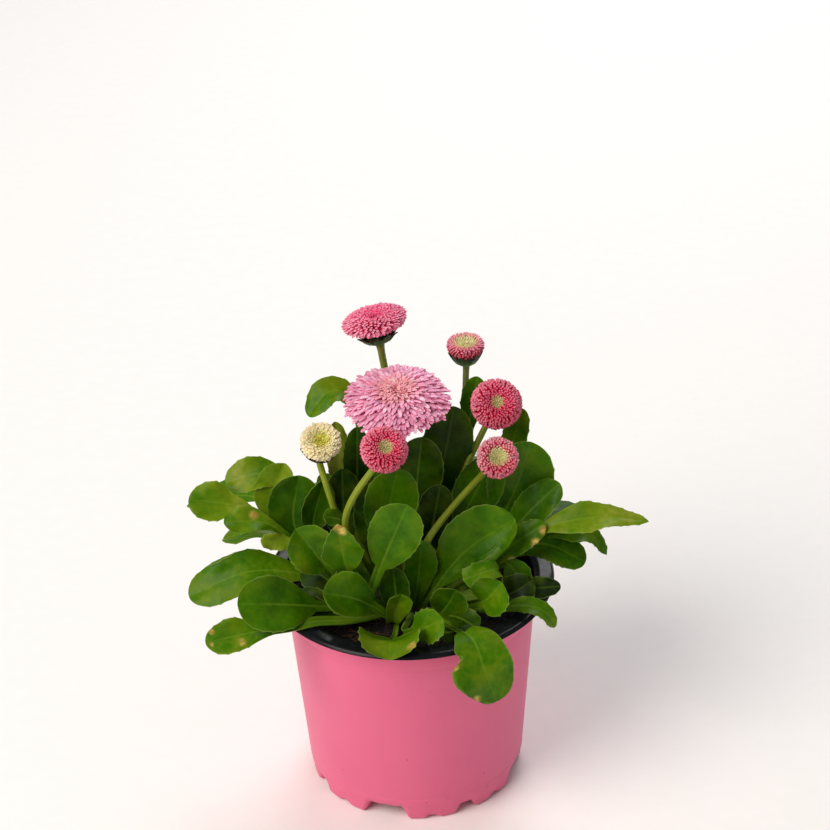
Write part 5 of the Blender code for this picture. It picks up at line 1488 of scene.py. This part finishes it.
def bractFinish(look):
    # involucre: dull dark green scales, almost black along the middle and at the tip
    material, tree, shader = newFinish("daisy bracts, downy", Roughness=0.6, IOR=1.42,
                                       Subsurface_Weight=0.12, Subsurface_Scale=0.8 * mm)
    parts = lookParts(tree, "floret")
    tone = addNode(tree, "ShaderNodeValToRGB", links={0: parts[0]},
                   ramp=[(0.0, "#66823A"), (0.3, look["bractGreen"]), (0.75, look["bractDark"]),
                         (0.92, "#34201E"), (1.0, "#6C4A44")])
    varied = addNode(tree, "ShaderNodeMapRange", links={0: parts[2]}, values={1: 0, 2: 1, 3: 0.65, 4: 1.9})
    shade = addNode(tree, "ShaderNodeHueSaturation", links={"Value": varied, "Color": tone})
    grain = addNode(tree, "ShaderNodeTexNoise", values={"Scale": 1000 / 0.5, "Detail": 3.0})
    bump = addNode(tree, "ShaderNodeBump", links={"Height": grain},
                   values={"Strength": 0.4, "Distance": 0.1 * mm})
    plug(tree, shader, {"Base Color": shade, "Normal": bump})
    return material


def addStem(pile, head, look):
    axis = lookWay(*head["lean"])
    neck = np.array(head["seat"]) - axis * head["cup"] * 0.95
    path = [(*head["root"], rootHeight), head["via"], neck - axis * 3.0, neck + axis * 1.0]
    shares = np.linspace(0, 1, look["stations"])
    places, ways, _ = smoothPath(path, shares)
    around = look["around"]
    a = evenTurns(around)
    across = np.array([1.0, 0, 0])
    rings = []
    for place, way, share in zip(places, ways, shares):
        across = unit(across - way * (across @ way))
        side = np.cross(way, across)
        # it tapers upwards, widens again into the cup, and has seven faint ribs
        girth = 1.08 - 0.16 * share + 0.5 * np.clip((share - 0.94) / 0.06, 0, 1) ** 2
        radius = head.get("stem", look["radius"]) * girth
        radius = radius * (1 + 0.05 * np.cos(7 * a))
        rings.append(place + radius[:, None] * (np.cos(a)[:, None] * across + np.sin(a)[:, None] * side))
    rings = np.array(rings)
    looks = np.zeros((*rings.shape[:2], 3))
    looks[:, :, 0] = shares[:, None]
    looks[:, :, 1] = np.arange(around)[None, :] * np.pi
    looks[:, :, 2] = head.get("grey", 0.0) * shares[:, None]
    pour(pile, rings.reshape(-1, 3), tubeFaces(len(rings), around), floret=looks.reshape(-1, 3),
         floretSide=np.zeros((rings.size // 3, 3)))


def addBracts(pile, head, look, draw):
    # cup under the head, then two rows of scales that hold the florets
    cup = head["cup"]
    around = 26
    profile = np.array([(0.22, -1.12), (0.42, -0.98), (0.7, -0.74), (0.95, -0.44), (1.08, -0.12),
                        (1.0, 0.06), (0.02, 0.1)]) * cup
    ring = turned(profile[:, 0:1], profile[:, 1:2], evenTurns(around))
    turn, seat = headFrame(head)
    looks = np.zeros((ring.size // 3, 3))
    looks[:, 0] = np.repeat(np.linspace(0.0, 0.7, len(profile)), around)
    looks[:, 2] = 0.5
    pour(pile, ring.reshape(-1, 3) @ turn.T + seat, gridFaces(len(profile), around), kind=1,
         floret=looks, floretSide=np.zeros_like(looks))
    edge = head.get("bractReach", 0.93 * head.get("radius", 1.5 * cup))
    tall = head.get("bractRise", 1.2)
    t = np.linspace(0, 1, 8)
    bends = [0, 0.3, 0.65, 1]
    taper = np.array([0.45, 0.75, 1.0, 1.08, 1.05, 0.85, 0.5, 0.12])
    for row, (count, tip) in enumerate(((look["bracts"], tall), (look["bracts"] - 3, 0.6 * tall))):
        turns = evenTurns(count, 0.5 * row) + draw.normal(0, 0.05, count)
        reach = np.interp(t, bends, [0.32 * cup, 0.62 * edge, 0.84 * edge, 0.97 * edge]) + 0.15 * row
        rise = np.interp(t, bends, [-1.06 * cup, -0.6 * cup, -0.1 * cup, tip])
        reach = np.repeat(reach[None], count, 0) + draw.normal(0, 0.14, count)[:, None] * t
        rise = np.repeat(rise[None], count, 0) + draw.normal(0, 0.4, count)[:, None] * t
        wide = (edge * look["bractShare"] * taper)[None, :].repeat(count, 0)
        body = strips(turns, reach, rise, wide, np.full_like(wide, 0.2), np.zeros_like(wide))
        pourStrips(pile, head, body, t, np.full(count, 0.5), draw.uniform(0, 1, count), kind=1)


def makeStems(look):
    materials = [stemFinish(look), bractFinish(look)]
    for name, head in heads.items():
        draw = np.random.default_rng(len(name) + 40)
        pile = newPile()
        addStem(pile, head, look)
        addBracts(pile, head, look, draw)
        setPiece(name + "Stem", pile, materials, ["rosette"])


makeStems(stemLook)
print("stems")


# Crown: the stub that leaves and stems come from, matted with old leaf bases
crownLook = {
    "radii": (22.4, 16.4),
    "bottom": 69.0,
    "top": 83.0,
    "levels": (0.92, 1.0, 0.96, 0.82, 0.62, 0.36, 0.05),   # share of the radii, from the bottom up
    "lobes": 17,
    "around": 90,
}


def makeCrown(look):
    material, tree, shader = newFinish("old leaf bases, fibrous", Roughness=0.8)
    place = addNode(tree, "ShaderNodeTexCoord").outputs["Object"]
    stretched = addNode(tree, "ShaderNodeMapping", links={0: place}, values={3: (1.0, 1.0, 0.2)})
    grain = addNode(tree, "ShaderNodeTexNoise", links={0: stretched},
                    values={"Scale": 1000 / 1.5, "Detail": 5.0})
    tone = addNode(tree, "ShaderNodeValToRGB", links={0: grain},
                   ramp=[(0.35, "#182210"), (0.55, "#2C3A16"), (0.7, "#5A5A2A")])
    bump = addNode(tree, "ShaderNodeBump", links={"Height": grain},
                   values={"Strength": 0.7, "Distance": 0.4 * mm})
    plug(tree, shader, {"Base Color": tone, "Normal": bump})
    around = look["around"]
    a = evenTurns(around)
    heights = np.linspace(look["bottom"], look["top"], len(look["levels"]))
    rings = []
    for height, share in zip(heights, look["levels"]):
        lobes = 1 + 0.05 * np.cos(look["lobes"] * a) - 0.05
        ring = np.stack([crownCentre[0] + look["radii"][0] * share * lobes * np.cos(a),
                         crownCentre[1] + look["radii"][1] * share * lobes * np.sin(a),
                         np.full(around, height)], axis=1)
        for spot in ring:
            spot[2] += 0.6 * noise.noise(Vector(spot) / 4) - 0.6
        rings.append(ring)
    pile = newPile()
    pour(pile, np.concatenate(rings), tubeFaces(len(rings), around))
    setPiece("crown", pile, [material], ["rosette"])


makeCrown(crownLook)
print("crown")
